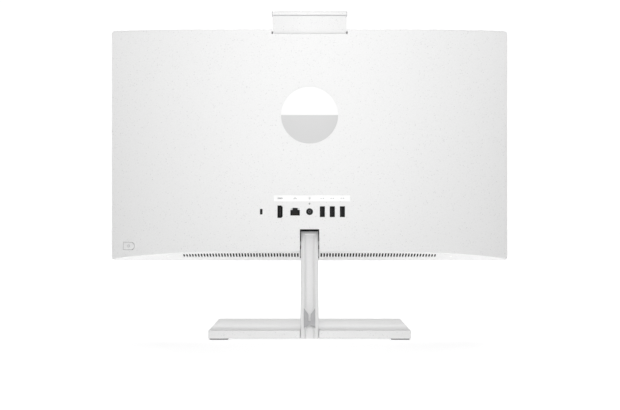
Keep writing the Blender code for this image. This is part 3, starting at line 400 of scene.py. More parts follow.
@dataclass(frozen=True)
class DarkGlass:
    """Black coated glass with the faintest haze on it."""

    name: str
    slot: str
    colour: Colour
    roughness: float
    tint: Colour = (0.02, 0.02, 0.03)

    def make(self) -> bpy.types.Material:
        """Builds the material: an even dark face with faint smears in its gloss."""
        paint = Shader(self.name, coat_weight=1.0, coat_roughness=0.03)
        haze = paint.noise(14.0, 4.0, (1, 1, 0.4))
        paint.plug("Base Color", paint.blend(haze, self.colour, self.tint))
        paint.plug("Roughness", haze * 0.1 + self.roughness)
        return paint.material


@dataclass(frozen=True)
class PaintedReflectionDisc:
    """A satin disc with a painted reflection: pale above its middle and greyer below, with turned rings."""

    name: str
    slot: str
    middle: float
    pale: Colour = (0.93, 0.93, 0.93)
    grey: Colour = (0.66, 0.66, 0.66)
    ring: float = 0.0012

    def make(self) -> bpy.types.Material:
        """Builds the material: the painted reflection's pale and grey meet in a short blend, over rings as
        fine as a lathe's.
        """
        paint = Shader(self.name, coat_weight=0.15, coat_roughness=0.3, specular_ior_level=0.2)
        height = paint.axis("Z") - self.middle
        # painted reflection: grey below the disc's middle, pale above it
        low = paint.ramp(height * 60.0 + 0.5, (0.47, 1.0), (0.53, 0.0))
        across = paint.axis("X")
        radius = (across * across + height * height).root()
        rings = abs(radius % self.ring - self.ring / 2) * (2 / self.ring)
        paint.plug("Base Color", paint.blend(low, self.pale, self.grey))
        paint.plug("Roughness", rings * 0.06 + 0.42)
        paint.raise_by(rings, 0.00002, 0.15)
        return paint.material


@dataclass(frozen=True)
class CircuitBoard:
    """Lacquered board with paler tracks and small plated holes."""

    name: str
    slot: str
    colour: Colour
    track: Colour = (0.05, 0.22, 0.12)
    plating: Colour = (0.7, 0.6, 0.35)

    def make(self) -> bpy.types.Material:
        """Builds the material: square-cornered tracks, and dots where layers join."""
        paint = Shader(self.name, coat_weight=0.4, coat_roughness=0.15)
        corners = paint.node(
            "ShaderNodeTexVoronoi", {"distance": "CHEBYCHEV"}, {"Vector": paint.place, "Scale": 240.0}
        )
        tracks = paint.ramp(corners, (0.30, 0.0), (0.33, 1.0), (0.42, 1.0), (0.45, 0.0))
        holes = paint.cells(420.0) < 0.16
        ground = paint.blend(tracks, self.colour, self.track)
        paint.plug("Base Color", paint.blend(holes, ground, self.plating))
        paint.plug("Roughness", tracks * 0.1 + 0.38)
        paint.raise_by(tracks, 0.00004, 0.5)
        return paint.material


@dataclass(frozen=True)
class StripedRibbon:
    """Flat flexible cable: plastic film with straight copper lines showing through."""

    name: str
    slot: str
    colour: Colour
    copper: Colour = (0.62, 0.40, 0.22)
    pitch: float = 0.001

    def make(self) -> bpy.types.Material:
        """Builds the material: even lines across the width, faintly raised."""
        paint = Shader(self.name, roughness=0.35)
        lines = (paint.axis("X") % self.pitch) < self.pitch * 0.45
        paint.plug("Base Color", paint.blend(lines * 0.7, self.colour, self.copper))
        paint.raise_by(lines, 0.00003, 0.4)
        return paint.material


@dataclass(frozen=True)
class Lamp:
    """A small light that glows faintly through a milky lens."""

    name: str
    slot: str
    colour: Colour
    glow: float

    def make(self) -> bpy.types.Material:
        """Builds the material: a milky body that is brighter in the middle of its grain."""
        paint = Shader(self.name, emission_strength=self.glow, roughness=0.25)
        milk = paint.noise(600.0, 2.0)
        paint.plug("Base Color", paint.blend(milk, self.colour, tuple(c * 0.8 for c in self.colour)))
        paint.plug("Emission Color", paint.blend(milk, self.colour, tuple(c * 0.6 for c in self.colour)))
        return paint.material


Finish = (
    SpeckledPlastic | MouldedPlastic | WorkedMetal | DarkGlass
    | PaintedReflectionDisc | CircuitBoard | StripedRibbon | Lamp
)


# -------------------------------------------------------------------- the bench


def take_up(obj: bpy.types.Object) -> None:
    """Makes the object the only one selected, and the active one."""
    for other in bpy.context.selected_objects:
        other.select_set(False)
    obj.select_set(True)
    bpy.context.view_layer.objects.active = obj


def middle(span: Span) -> float:
    """The value halfway along a span."""
    return (span[0] + span[1]) / 2


def about(value: float, half: float) -> Span:
    """The span that reaches the same way to both sides of a value."""
    return value - half, value + half


def placed(span: Span, start: float) -> Span:
    """A span measured from a starting point."""
    return start + span[0], start + span[1]


def centre(node: str) -> Point:
    """The middle of a frame node's box."""
    low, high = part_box(node)
    return middle((low.x, high.x)), middle((low.y, high.y)), middle((low.z, high.z))


def runs_along(axis: Axis) -> Test:
    """A test for edges that lie along an axis."""
    way = Vector(axis.value)
    return lambda edge: abs((edge.verts[0].co - edge.verts[1].co).normalized().dot(way)) > 0.9


def looking(side: Side, least: float = 0.9) -> Test:
    """A test for faces whose normal points to one side.

    Args:
        side: the direction.
        least: smallest cosine that counts.

    Returns:
        A test of a face.
    """
    way = Vector(side.value)
    return lambda face: face.normal.dot(way) > least


class Workpiece:
    """One object under the tools, shaped in edit mode and with modifiers that are applied at once."""

    def __init__(self, obj: bpy.types.Object) -> None:
        """Takes up an object.

        Args:
            obj: a mesh object whose place is in its mesh.
        """
        self.obj = obj

    @classmethod
    def fresh(cls, name: str) -> "Workpiece":
        """Takes up the primitive just added, with its place and size moved into its mesh."""
        obj = bpy.context.view_layer.objects.active
        obj.name = name
        obj.data.name = name
        bpy.ops.object.transform_apply(location=True, rotation=True, scale=True)
        return cls(obj)

    @classmethod
    def block(cls, name: str, xs: Span, ys: Span, zs: Span) -> "Workpiece":
        """A box between two values on each axis."""
        bpy.ops.object.select_all(action="DESELECT")
        bpy.ops.mesh.primitive_cube_add(size=1, location=(middle(xs), middle(ys), middle(zs)))
        bpy.context.view_layer.objects.active.scale = (xs[1] - xs[0], ys[1] - ys[0], zs[1] - zs[0])
        return cls.fresh(name)

    @classmethod
    def rod(
        cls, name: str, radius: float, length: float, place: Point, axis: Axis, sides: int = 32
    ) -> "Workpiece":
        """A round bar.

        Args:
            name: its name.
            radius: half of its thickness.
            length: its length.
            place: its middle.
            axis: the way it lies.
            sides: how many flats stand for the round.

        Returns:
            The bar.
        """
        bpy.ops.object.select_all(action="DESELECT")
        bpy.ops.mesh.primitive_cylinder_add(
            vertices=sides, radius=radius, depth=length, location=place, rotation=axis.turn
        )
        return cls.fresh(name)

    @classmethod
    def ring(
        cls, name: str, radius: float, thickness: float, place: Point, axis: Axis,
        sides: int = 32, facets: int = 8,
    ) -> "Workpiece":
        """A round wire bent to a circle.

        Args:
            name: its name.
            radius: from the centre to the middle of the wire.
            thickness: half of the wire's own thickness.
            place: the circle's middle.
            axis: the way that the circle faces.
            sides: steps round the circle.
            facets: steps round the wire.

        Returns:
            The ring.
        """
        bpy.ops.object.select_all(action="DESELECT")
        bpy.ops.mesh.primitive_torus_add(
            major_radius=radius, minor_radius=thickness, major_segments=sides, minor_segments=facets,
            location=place, rotation=axis.turn,
        )
        return cls.fresh(name)

    @classmethod
    def sheet(cls, name: str, columns: int, rows: int) -> "Workpiece":
        """A flat grid from -1 to 1 in X and Y."""
        bpy.ops.object.select_all(action="DESELECT")
        bpy.ops.mesh.primitive_grid_add(x_subdivisions=columns, y_subdivisions=rows, size=2)
        return cls.fresh(name)

    @classmethod
    def like(cls, node: str, name: str) -> "Workpiece":
        """A copy of a frame node's mesh, welded, with its flat faces made whole.

        Args:
            node: the node to copy.
            name: the new piece's name.

        Returns:
            The copy.
        """
        mesh = frame["nodes"][node].data.copy()
        mesh.materials.clear()
        obj = bpy.data.objects.new(name, mesh)
        bpy.context.scene.collection.objects.link(obj)
        return cls(obj).weld(flatten=True).leave()

    def choose(self, test: Test, kind: str = "FACE") -> "Workpiece":
        """Opens the mesh for editing with only some of it selected.

        Args:
            test: says which faces, edges or vertices.
            kind: FACE, EDGE or VERT.

        Returns:
            The piece.
        """
        take_up(self.obj)
        if self.obj.mode != "EDIT":
            bpy.ops.object.mode_set(mode="EDIT")
        bpy.ops.mesh.select_mode(type=kind)
        bpy.ops.mesh.select_all(action="DESELECT")
        made = bmesh.from_edit_mesh(self.obj.data)
        parts = {"FACE": made.faces, "EDGE": made.edges, "VERT": made.verts}[kind]
        for part in parts:
            if test(part):
                part.select_set(True)
        bmesh.update_edit_mesh(self.obj.data)
        return self

    def weld(self, flatten: bool = False) -> "Workpiece":
        """Opens the mesh and joins the points that coincide.

        Args:
            flatten: whether flat faces are also made whole.

        Returns:
            The piece.
        """
        self.choose(lambda part: True, "VERT")
        bpy.ops.mesh.remove_doubles(threshold=0.000002)
        if flatten:
            bpy.ops.mesh.select_all(action="SELECT")
            bpy.ops.mesh.dissolve_limited(angle_limit=radians(0.5))
        return self.face_out()

    def face_out(self) -> "Workpiece":
        """Turns every face of the open mesh outward."""
        bpy.ops.mesh.select_all(action="SELECT")
        bpy.ops.mesh.normals_make_consistent(inside=False)
        return self

    def leave(self) -> "Workpiece":
        """Closes the mesh after editing."""
        bpy.ops.object.mode_set(mode="OBJECT")
        return self

    def extrude(self, way: Point) -> "Workpiece":
        """Pulls the selection out along a vector, leaving walls behind it."""
        bpy.ops.mesh.extrude_region_move(TRANSFORM_OT_translate={"value": way})
        return self

    def inset(self, border: float, depth: float = 0.0) -> "Workpiece":
        """Leaves a border round the selected faces, and sinks or raises what is inside it."""
        bpy.ops.mesh.inset(thickness=border, depth=depth)
        return self

    def round_edges(self, width: float, steps: int = 3) -> "Workpiece":
        """Rounds the selected edges."""
        bpy.ops.mesh.bevel(offset=width, segments=steps, affect="EDGES")
        return self

    def modify(self, kind: str, **settings: object) -> "Workpiece":
        """Adds a modifier and applies it.

        Args:
            kind: the modifier's type.
            settings: its attributes.

        Returns:
            The piece.
        """
        take_up(self.obj)
        made = self.obj.modifiers.new(kind.title(), kind)
        for key, given in settings.items():
            setattr(made, key, given)
        bpy.ops.object.modifier_apply(modifier=made.name)
        return self

    def soften(self, width: float, steps: int = 2, angle: float = 30.0) -> "Workpiece":
        """Rounds every edge that is sharper than an angle in degrees."""
        return self.modify(
            "BEVEL", width=width, segments=steps, limit_method="ANGLE", angle_limit=radians(angle),
            use_clamp_overlap=True,
        )

    def cut(self, *others: "Workpiece") -> "Workpiece":
        """Takes the other pieces' solids away, and clears them off the bench."""
        for other in others:
            self.modify("BOOLEAN", operation="DIFFERENCE", object=other.obj, solver="EXACT")
            bpy.data.objects.remove(other.obj)
        return self

    def add(self, *others: "Workpiece") -> "Workpiece":
        """Joins the other pieces' meshes to this one without melting them together."""
        take_up(self.obj)
        for other in others:
            other.obj.select_set(True)
        bpy.ops.object.join()
        return self

    def repeat(self, places: Iterable[Point]) -> "Workpiece":
        """Adds a copy of the mesh at each offset from where it is.

        Args:
            places: offsets of the copies.

        Returns:
            The piece, with its copies joined to it.
        """
        copies = []
        for place in places:
            copy = bpy.data.objects.new(self.obj.name, self.obj.data.copy())
            copy.data.transform(Matrix.Translation(place))
            bpy.context.scene.collection.objects.link(copy)
            copies.append(Workpiece(copy))
        return self.add(*copies) if copies else self

    def carry(self, matrix: Matrix) -> "Workpiece":
        """Moves or turns the whole mesh."""
        self.obj.data.transform(matrix)
        return self

    def dress(
        self, finish: Finish, group: Group, replaces: Sequence[str] = (), angle: float = 35.0
    ) -> "Workpiece":
        """Smooths the piece, gives it its finish and lets it ride on a body.

        Args:
            finish: what it is made of.
            group: the body that it moves with.
            replaces: frame nodes that it stands for.
            angle: faces that meet at less than this, in degrees, are shaded as one.

        Returns:
            The piece.
        """
        take_up(self.obj)
        bpy.ops.object.shade_smooth_by_angle(angle=radians(angle))
        self.obj.data.materials.clear()
        self.obj.data.materials.append(made_of(finish))
        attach(self.obj, group.value)
        if replaces:
            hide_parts(*replaces)
        LOG.info("made %s on %s", self.obj.name, group.value)
        return self


MADE: dict[str, bpy.types.Material] = {}


def made_of(finish: Finish) -> bpy.types.Material:
    """The finish's material, built once."""
    if finish.name not in MADE:
        MADE[finish.name] = finish.make()
    return MADE[finish.name]


def refine(
    node: str, finish: Finish, group: Group, width: float = 0.0003, steps: int = 2
) -> Workpiece:
    """A finer stand-in for a frame node: its own shape with rounded edges.

    Args:
        node: the frame node.
        finish: what it is made of.
        group: the body that it moves with.
        width: how far the rounding reaches from each edge.
        steps: facets across the rounding.

    Returns:
        The piece.
    """
    piece = Workpiece.like(node, f"{node}_fine")
    piece.soften(width, steps)
    return piece.dress(finish, group, [node])


# ------------------------------------------------------- finishes of this model

SHELL = SpeckledPlastic("speckled_shell", "speckled_white", (0.86, 0.86, 0.858), (0.45, 0.45, 0.46))
POST_WHITE = SpeckledPlastic(
    "satin_post", "satin_white", (0.86, 0.86, 0.86), (0.76, 0.76, 0.76), 0.34, 500.0, 0.04
)
CLIP_GREY = MouldedPlastic("clip_grey_moulded", "clip_grey", (0.47, 0.47, 0.48), 0.5)
BLACK = MouldedPlastic("black_moulded", "black_plastic", (0.018, 0.018, 0.02), 0.45)
SOCKET_BLACK = MouldedPlastic("socket_black", "black_plastic", (0.008, 0.008, 0.009), 0.55)
# Near-black sheet behind the air slots: painted shade for the dark inside them.
VENT_SHADE_CLOTH = MouldedPlastic("vent_cloth", "black_plastic", (0.002, 0.002, 0.002), 0.95, 3000.0, 0.0002)
RUBBER = MouldedPlastic("foot_rubber", "rubber", (0.10, 0.10, 0.10), 0.85, 2200.0, 0.0001)
LABEL_WHITE = MouldedPlastic("label_film", "label", (0.93, 0.93, 0.93), 0.35, 3000.0, 0.00001)
MARK_GREY = MouldedPlastic("mark_ink", "clip_grey", (0.26, 0.26, 0.27), 0.5, 3000.0, 0.00001)
# Painted shadow under the camera cap, and painted shade in the open ends of its notch.
CAP_SHADOW_GREY = MouldedPlastic("seal_grey", "clip_grey", (0.62, 0.62, 0.63), 0.5, 3000.0, 0.00001)
NOTCH_END_SHADE = MouldedPlastic("end_grey", "clip_grey", (0.40, 0.40, 0.41), 0.5, 3000.0, 0.00001)
LAMP_CASE = MouldedPlastic("lamp_case", "backlight_case", (0.72, 0.72, 0.72), 0.4)
SCREEN = DarkGlass("screen_pane", "screen", (0.004, 0.005, 0.007), 0.10)
WINDOW = DarkGlass("camera_pane", "black_gloss", (0.008, 0.008, 0.010), 0.05)
LENS = DarkGlass("lens_glass", "lens", (0.01, 0.012, 0.04), 0.02, (0.05, 0.02, 0.08))
STEEL = WorkedMetal("turned_steel", "steel", (0.56, 0.56, 0.57), 0.32)
# Socket shells and lock plate: steel painted near-black, as painted shade for the dark inside their cavities.
SHADED_SOCKET_STEEL = WorkedMetal("socket_steel", "steel", (0.018, 0.018, 0.019), 0.5, metallic=0.6)
SLEEVE = WorkedMetal("sleeve_steel", "steel", (0.16, 0.16, 0.165), 0.45, metallic=0.7)
SHEET_STEEL = WorkedMetal("rolled_sheet", "sheet_steel", (0.62, 0.62, 0.63), 0.42, (18, 1, 1))
ALUMINIUM = WorkedMetal("brushed_aluminium", "aluminium", (0.76, 0.76, 0.77), 0.33, (14, 1, 1))
COPPER = WorkedMetal("plain_copper", "copper", (0.72, 0.38, 0.22), 0.3, (14, 1, 1))
CONTACT = WorkedMetal("gilt_contact", "copper", (0.16, 0.13, 0.09), 0.45, (1, 8, 1))
BOARD = CircuitBoard("green_board", "circuit_board", (0.015, 0.09, 0.05))
RIBBON = StripedRibbon("flat_cable", "ribbon", (0.74, 0.69, 0.54))
STATUS = Lamp("status_lamp", "light", (0.55, 0.57, 0.56), 0.05)
PORT_LAMP = Lamp("port_lamp", "light", (0.62, 0.63, 0.62), 0.1)

# ------------------------------------------------------------------ sub-assemblies


@dataclass
class Studio:
    """Pale floor, soft lights and the camera behind the computer."""

    distance: float = 1.590
    height: float = 0.1555
    lens: float = 68.0
    shift_x: float = 0.0007
    shift_y: float = 0.0217
    floor_reach: float = 14.0
    sky: float = 0.05
    key: float = 4.5
    top: float = 27.0
    front: float = 46.0
    near_glow: float = 0.66

    def build(self) -> None:
        """Makes the camera first, then the floor, the sky and the lamps."""
        scene = bpy.context.scene
        view = bpy.data.cameras.new("view")
        view.lens = self.lens
        view.sensor_width = 36.0
        view.shift_x, view.shift_y = self.shift_x, self.shift_y
        view.clip_start, view.clip_end = 0.05, 60.0
        camera = bpy.data.objects.new("view", view)
        camera.location = (0.0, self.distance, self.height)
        camera.rotation_euler = (pi / 2, 0.0, pi)
        scene.collection.objects.link(camera)
        scene.camera = camera
        scene.view_settings.view_transform = "Standard"
        self.make_floor()
        self.make_sky()
        self.make_lamp("key_lamp", (0.0, 0.70, 0.36), (0, 0, 0.25), (0.25, 1.5), self.key)
        self.make_lamp("top_lamp", (0.0, 0.60, 3.2), (0, 0.05, 0), (3.5, 3.0), self.top)
        self.make_lamp("front_lamp", (0.0, -1.6, 1.6), (0, 0, 0), (2.4, 1.0), self.front)

    def make_floor(self) -> None:
        """A wide pale floor, not part of the object."""
        floor = Workpiece.sheet("studio_floor", 8, 8)
        floor.carry(Matrix.Diagonal((self.floor_reach, self.floor_reach, 1, 1)))
        paint = Shader("floor_paper", roughness=0.9, emission_strength=1.0)
        fibre = paint.noise(60.0, 3.0)
        across, along = paint.axis("X"), paint.axis("Y")
        radius = (across * across + along * along).root()
        paint.plug("Emission Color", paint.ramp(radius * 0.25, (0.08, self.near_glow), (0.5, 1.0)))
        paint.plug("Base Color", paint.blend(fibre, (0.52, 0.52, 0.52), (0.50, 0.50, 0.50)))
        floor.obj.data.materials.append(paint.material)

    def make_sky(self) -> None:
        """An even white surround."""
        world = bpy.data.worlds.new("surround")
        world.use_nodes = True
        nodes, links = world.node_tree.nodes, world.node_tree.links
        shown = nodes["Background"]
        shown.inputs["Color"].default_value = (1, 1, 1, 1)
        shown.inputs["Strength"].default_value = 1.05
        light = nodes.new("ShaderNodeBackground")
        light.inputs["Color"].default_value = (1, 1, 1, 1)
        light.inputs["Strength"].default_value = self.sky
        path = nodes.new("ShaderNodeLightPath")
        mixed = nodes.new("ShaderNodeMixShader")
        links.new(path.outputs["Is Camera Ray"], mixed.inputs[0])
        links.new(light.outputs[0], mixed.inputs[1])
        links.new(shown.outputs[0], mixed.inputs[2])
        links.new(mixed.outputs[0], nodes["World Output"].inputs["Surface"])
        bpy.context.scene.world = world

    def make_lamp(self, name: str, place: Point, target: Point, size: Span, power: float) -> None:
        """Hangs a large soft lamp.

        Args:
            name: its name.
            place: where it hangs.
            target: what it points at.
            size: its width and height.
            power: its power in watts.
        """
        light = bpy.data.lights.new(name, "AREA")
        light.shape = "RECTANGLE"
        light.size, light.size_y = size
        light.energy = power
        lamp = bpy.data.objects.new(name, light)
        lamp.location = place
        lamp.visible_camera = False
        lamp.rotation_euler = (Vector(target) - Vector(place)).to_track_quat("-Z", "Y").to_euler()
        bpy.context.scene.collection.objects.link(lamp)


@dataclass
class RearCover:
    """The bulging white shell, fullest low down, over a sloping band with two rows of slots."""

    width: float = 0.541
    corner: float = 0.004
    rim: float = 0.012
    split: float = 0.0073
    wall: float = 0.002
    low_bulge: float = 0.031
    high_bulge: float = 0.014
    edge_lift: float = 0.0025
    power: int = 4
    slope: float = tan(radians(20.5))
    band_lift: float = 0.0008
    columns: int = 72
    rows: int = 34
    slots: int = 40
    pitch: float = 0.00395
    first: float = 0.0159
    slot_width: float = 0.0022
    slot_start: float = 0.0109
    slot_end: float = 0.0068
    slot_bow: float = 0.001
    cloth_lap: float = 0.0006
    cloth_lift: float = 0.0007
    cloth_start: float = 0.0012
    cloth_more: float = 0.003
    strip: float = 0.0022
    notch: float = 0.0015
    camera_room: float = 0.0005
    video_corner: float = 0.002
    port_wall: float = 0.0014
    port_step: float = 0.0027
    port_step_width: float = 0.007
    lock_width: float = 0.0034
    lock_height: float = 0.0075
    button_room: float = 0.00035

    def __post_init__(self) -> None:
        """Reads the body's place from the frame."""
        low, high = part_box("rear_cover")
        front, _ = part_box("front_frame")
        self.low, self.high = low.z, high.z
        self.front = front.y
        self.rim_y = self.front + self.rim

    def bulge(self, x: float, z: float) -> float:
        """How far the rear face lies behind the rim."""
        share = min(1.0, abs(2 * x / self.width))
        rise = (z - self.low) / (self.high - self.low)
        depth = self.low_bulge + (self.high_bulge - self.low_bulge) * rise
        return self.edge_lift + depth * (1 - share**self.power)

    def face(self, x: float, z: float) -> float:
        """Where the rear face is, along Y."""
        return self.rim_y + self.bulge(x, z)

    def seat(self, x: float, z: float, proud: float = 0.0) -> Matrix:
        """Where a flat thing made round the origin in the XZ plane lies on the rear face.

        Args:
            x: place across.
            z: place up.
            proud: how far it stands out of the face.

        Returns:
            The matrix that carries it there.
        """
        step = 0.0005
        lean_x = (self.face(x + step, z) - self.face(x - step, z)) / (2 * step)
        lean_z = (self.face(x, z + step) - self.face(x, z - step)) / (2 * step)
        out = Vector((-lean_x, 1.0, -lean_z)).normalized()
        across = out.cross(Vector((0, 0, 1))).normalized()
        turn = Matrix((across, out, across.cross(out))).transposed().to_4x4()
        return Matrix.Translation(Vector((x, self.face(x, z), z)) + out * proud) @ turn

    def crease(self, x: float) -> float:
        """Height of the crease between the rear face and the band under it."""
        return self.low + self.band_lift + self.slope * self.bulge(x, self.low)

    def half_width(self, z: float, inset: float) -> float:
        """Half of the width at a height, less where the corners are round."""
        radius = self.corner - inset
        from_edge = min(z - self.low, self.high - z) - inset
        inward = min(radius, max(0.0, radius - from_edge))
        return self.width / 2 - self.corner + sqrt(radius**2 - inward**2)

    def heights(self, x: float, inset: float) -> list[float]:
        """The heights of one column's points, from the lower edge to the top.

        Args:
            x: the column's place.
            inset: how far inside the outer skin this surface lies.

        Returns:
            One height for each row.
        """
        radius, top = self.corner - inset, self.high - inset
        low = self.crease(x) + inset * (1 / cos(atan(self.slope)) - self.slope)
        high = top - radius
        plain = self.rows - 5
        up = [low + self.strip + (high - low - self.strip) * step / plain for step in range(plain + 1)]
        arc = [high + radius * sin(radians(turn)) for turn in (30, 60, 90)]
        return [self.low + inset, low, *up, *arc]

    def solid(self, name: str, inset: float, front: float) -> Workpiece:
        """The cover's shape, filled, with every face moved inward.

        Args:
            name: its name.
            inset: how far the faces are moved.
            front: where its flat front is.

        Returns:
            The closed solid.
        """
        sheet = Workpiece.sheet(name, self.columns, self.rows)
        for vertex in sheet.obj.data.vertices:
            share = vertex.co.x
            row = round((vertex.co.y + 1) / 2 * self.rows)
            x = share * (self.width / 2 - inset)
            z = self.heights(x, inset)[row]
            y = self.face(x, z) - inset if row else self.rim_y
            vertex.co = (share * self.half_width(z, inset), y, z)
        sheet.choose(lambda edge: edge.is_boundary, "EDGE")
        sheet.extrude((0, -1, 0))
        for vertex in bmesh.from_edit_mesh(sheet.obj.data).verts:
            if vertex.select:
                vertex.co.y = front
        bpy.ops.mesh.edge_face_add()
        return sheet.face_out().leave()

    def slot_cutter(self) -> Workpiece:
        """Boxes for all the air slots, in two slightly bowed rows."""
        last = self.first + (self.slots - 1) * self.pitch
        boxes = []
        for side in (-1, 1):
            for number in range(self.slots):
                x = side * (self.first + number * self.pitch)
                bow = self.slot_bow * (x / last) ** 2
                start = self.rim_y + self.slot_start + bow
                end = self.face(x, self.crease(x)) - self.slot_end + bow
                boxes.append((x, start, end))
        tool = Workpiece.block("slot_tool", about(0, GAP), about(0, GAP), about(0, GAP))
        tool.choose(lambda part: True, "VERT")
        bpy.ops.mesh.delete(type="VERT")
        for x, start, end in boxes:
            place, size = (x, middle((start, end)), self.low), (self.slot_width, end - start, FAR)
            bpy.ops.mesh.primitive_cube_add(size=1, location=place, scale=size)
        return tool.leave()

    def plain_hole(self, name: str, node: str, clear: float = GAP, depth: float = 0.012) -> Workpiece:
        """A straight-sided cutter round a node's own outline, as seen from behind."""
        low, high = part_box(node)
        xs, zs = (low.x - clear, high.x + clear), (low.z - clear, high.z + clear)
        return Workpiece.block(name, xs, (high.y - depth, high.y + FAR), zs)

    def build(self) -> None:
        """Makes the shell, opens it for everything that shows through it, and backs the slots with a
        near-black cloth of painted shade.
        """
        front = self.front + self.split
        cover = self.solid("rear_cover_fine", 0.0, front)
        cover.soften(0.0008, 2, 40.0)
        cover.cut(self.camera_tool())
        cover.cut(self.solid("cover_room", self.wall, self.front - FAR))
        cover.cut(self.slot_cutter())
        low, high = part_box("stand_pocket")
        notch = self.notch
        xs, ys, zs = (low.x + notch, high.x - notch), (low.y + notch, FAR), (-FAR, high.z - notch)
        cover.cut(Workpiece.block("notch_tool", xs, ys, zs))
        self.cut_openings(cover)
        cover.dress(SHELL, Group.DISPLAY, ["rear_cover"], 28.0)
        cover.modify("WEIGHTED_NORMAL", keep_sharp=True, weight=100)
        self.back_slots()

    def camera_tool(self) -> Workpiece:
        """Cutter for the notch that the camera slides down into."""
        low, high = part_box("camera_cap")
        side = self.camera_room
        floor = self.high - (high.z - low.z) - side - GAP
        return Workpiece.block(
            "camera_tool", (low.x - side, high.x + side), (low.y - side, FAR), (floor, self.high + FAR)
        )

    def cut_openings(self, cover: Workpiece) -> None:
        """Cuts the socket, button and lamp openings."""
        for node in ("data_socket_1", "data_socket_2", "data_socket_3"):
            cover.cut(self.plain_hole(f"{node}_tool", node))
        for node, radius in (("power_socket", 0.00465), ("status_light", 0.0011)):
            x, _, z = centre(node)
            place = (x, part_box(node)[1].y, z)
            cover.cut(Workpiece.rod(f"{node}_tool", radius, 0.012, place, Axis.Y, 32))
        cover.cut(self.video_tool(), self.network_tool(), self.lock_tool(), self.button_tool())

    def video_tool(self) -> Workpiece:
        """Cutter for the tall socket with two cut corners."""
        tool = self.plain_hole("video_tool", "video_socket")
        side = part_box("video_socket")[0].x
        along_depth = runs_along(Axis.Y)
        tool.choose(lambda edge: along_depth(edge) and edge.verts[0].co.x < side, "EDGE")
        tool.round_edges(self.video_corner, 1)
        return tool.leave()

    def network_tool(self) -> Workpiece:
        """Cutter for the network socket: a wide mouth with a narrower step over it."""
        low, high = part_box("network_socket")
        wall, step = self.port_wall, self.port_step
        xs, floor, top_z = (low.x + wall, high.x - wall), low.z + wall, high.z - wall
        ys = (high.y - GAP, high.y + FAR)
        tool = Workpiece.block("network_tool", xs, ys, (floor, top_z - step))
        step_xs = about(middle(xs), self.port_step_width / 2)
        top = Workpiece.block("network_step", step_xs, ys, (top_z - step - GAP, top_z))
        tool.modify("BOOLEAN", operation="UNION", object=top.obj, solver="EXACT")
        bpy.data.objects.remove(top.obj)
        return tool

    def lock_tool(self) -> Workpiece:
        """Cutter for the small upright lock slot."""
        x, _, z = centre("lock_plate")
        ys = (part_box("lock_plate")[1].y - 0.001, FAR)
        tool = Workpiece.block("lock_tool", about(x, self.lock_width / 2), ys, about(z, self.lock_height / 2))
        return tool.soften(0.0006, 3)

    def button_tool(self) -> Workpiece:
        """Cutter for the power button's D-shaped hole."""
        low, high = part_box("power_button")
        clear = self.button_room
        tool = Workpiece.block(
            "button_tool", (low.x - clear, high.x + clear), (high.y - 0.016, high.y + 0.01),
            (low.z - clear, high.z + clear),
        )
        return round_d_shape(tool, low.x - clear)

    def back_slots(self) -> None:
        """Stretches a near-black cloth just inside each row of slots, as painted shade for the dark inside
        them.
        """
        last = self.first + (self.slots - 1) * self.pitch
        for side, sign in SIDES:
            cloth = Workpiece.sheet(f"slot_shade_cloth_{side}", 30, 4)
            for vertex in cloth.obj.data.vertices:
                reach = last - self.first + self.cloth_more
                x = sign * (self.first - self.cloth_start + reach * (vertex.co.x + 1) / 2)
                start = self.rim_y + self.slot_start - self.cloth_lap
                end = self.face(x, self.crease(x)) - self.slot_end + self.slot_bow + self.cloth_lap
                y = start + (end - start) * (vertex.co.y + 1) / 2
                band = self.low + self.band_lift + self.slope * (y - self.rim_y)
                vertex.co = (x, y, band + self.cloth_lift)
            cloth.choose(lambda face: True).face_out().leave()
            cloth.modify("SOLIDIFY", thickness=0.0003, offset=0.0)
            cloth.dress(VENT_SHADE_CLOTH, Group.DISPLAY)


def round_d_shape(tool: Workpiece, round_side: float) -> Workpiece:
    """Rounds a block's long edges along Y: widely on one side, slightly on the other.

    Args:
        tool: the block.
        round_side: X of the side that is widely rounded.

    Returns:
        The block.
    """
    along_depth = runs_along(Axis.Y)
    tool.choose(lambda edge: along_depth(edge) and edge.verts[0].co.x > round_side + 0.001, "EDGE")
    tool.round_edges(0.0009, 2)
    tool.choose(lambda edge: along_depth(edge) and edge.verts[0].co.x < round_side + 0.0002, "EDGE")
    tool.round_edges(0.0038, 6)
    return tool.leave()


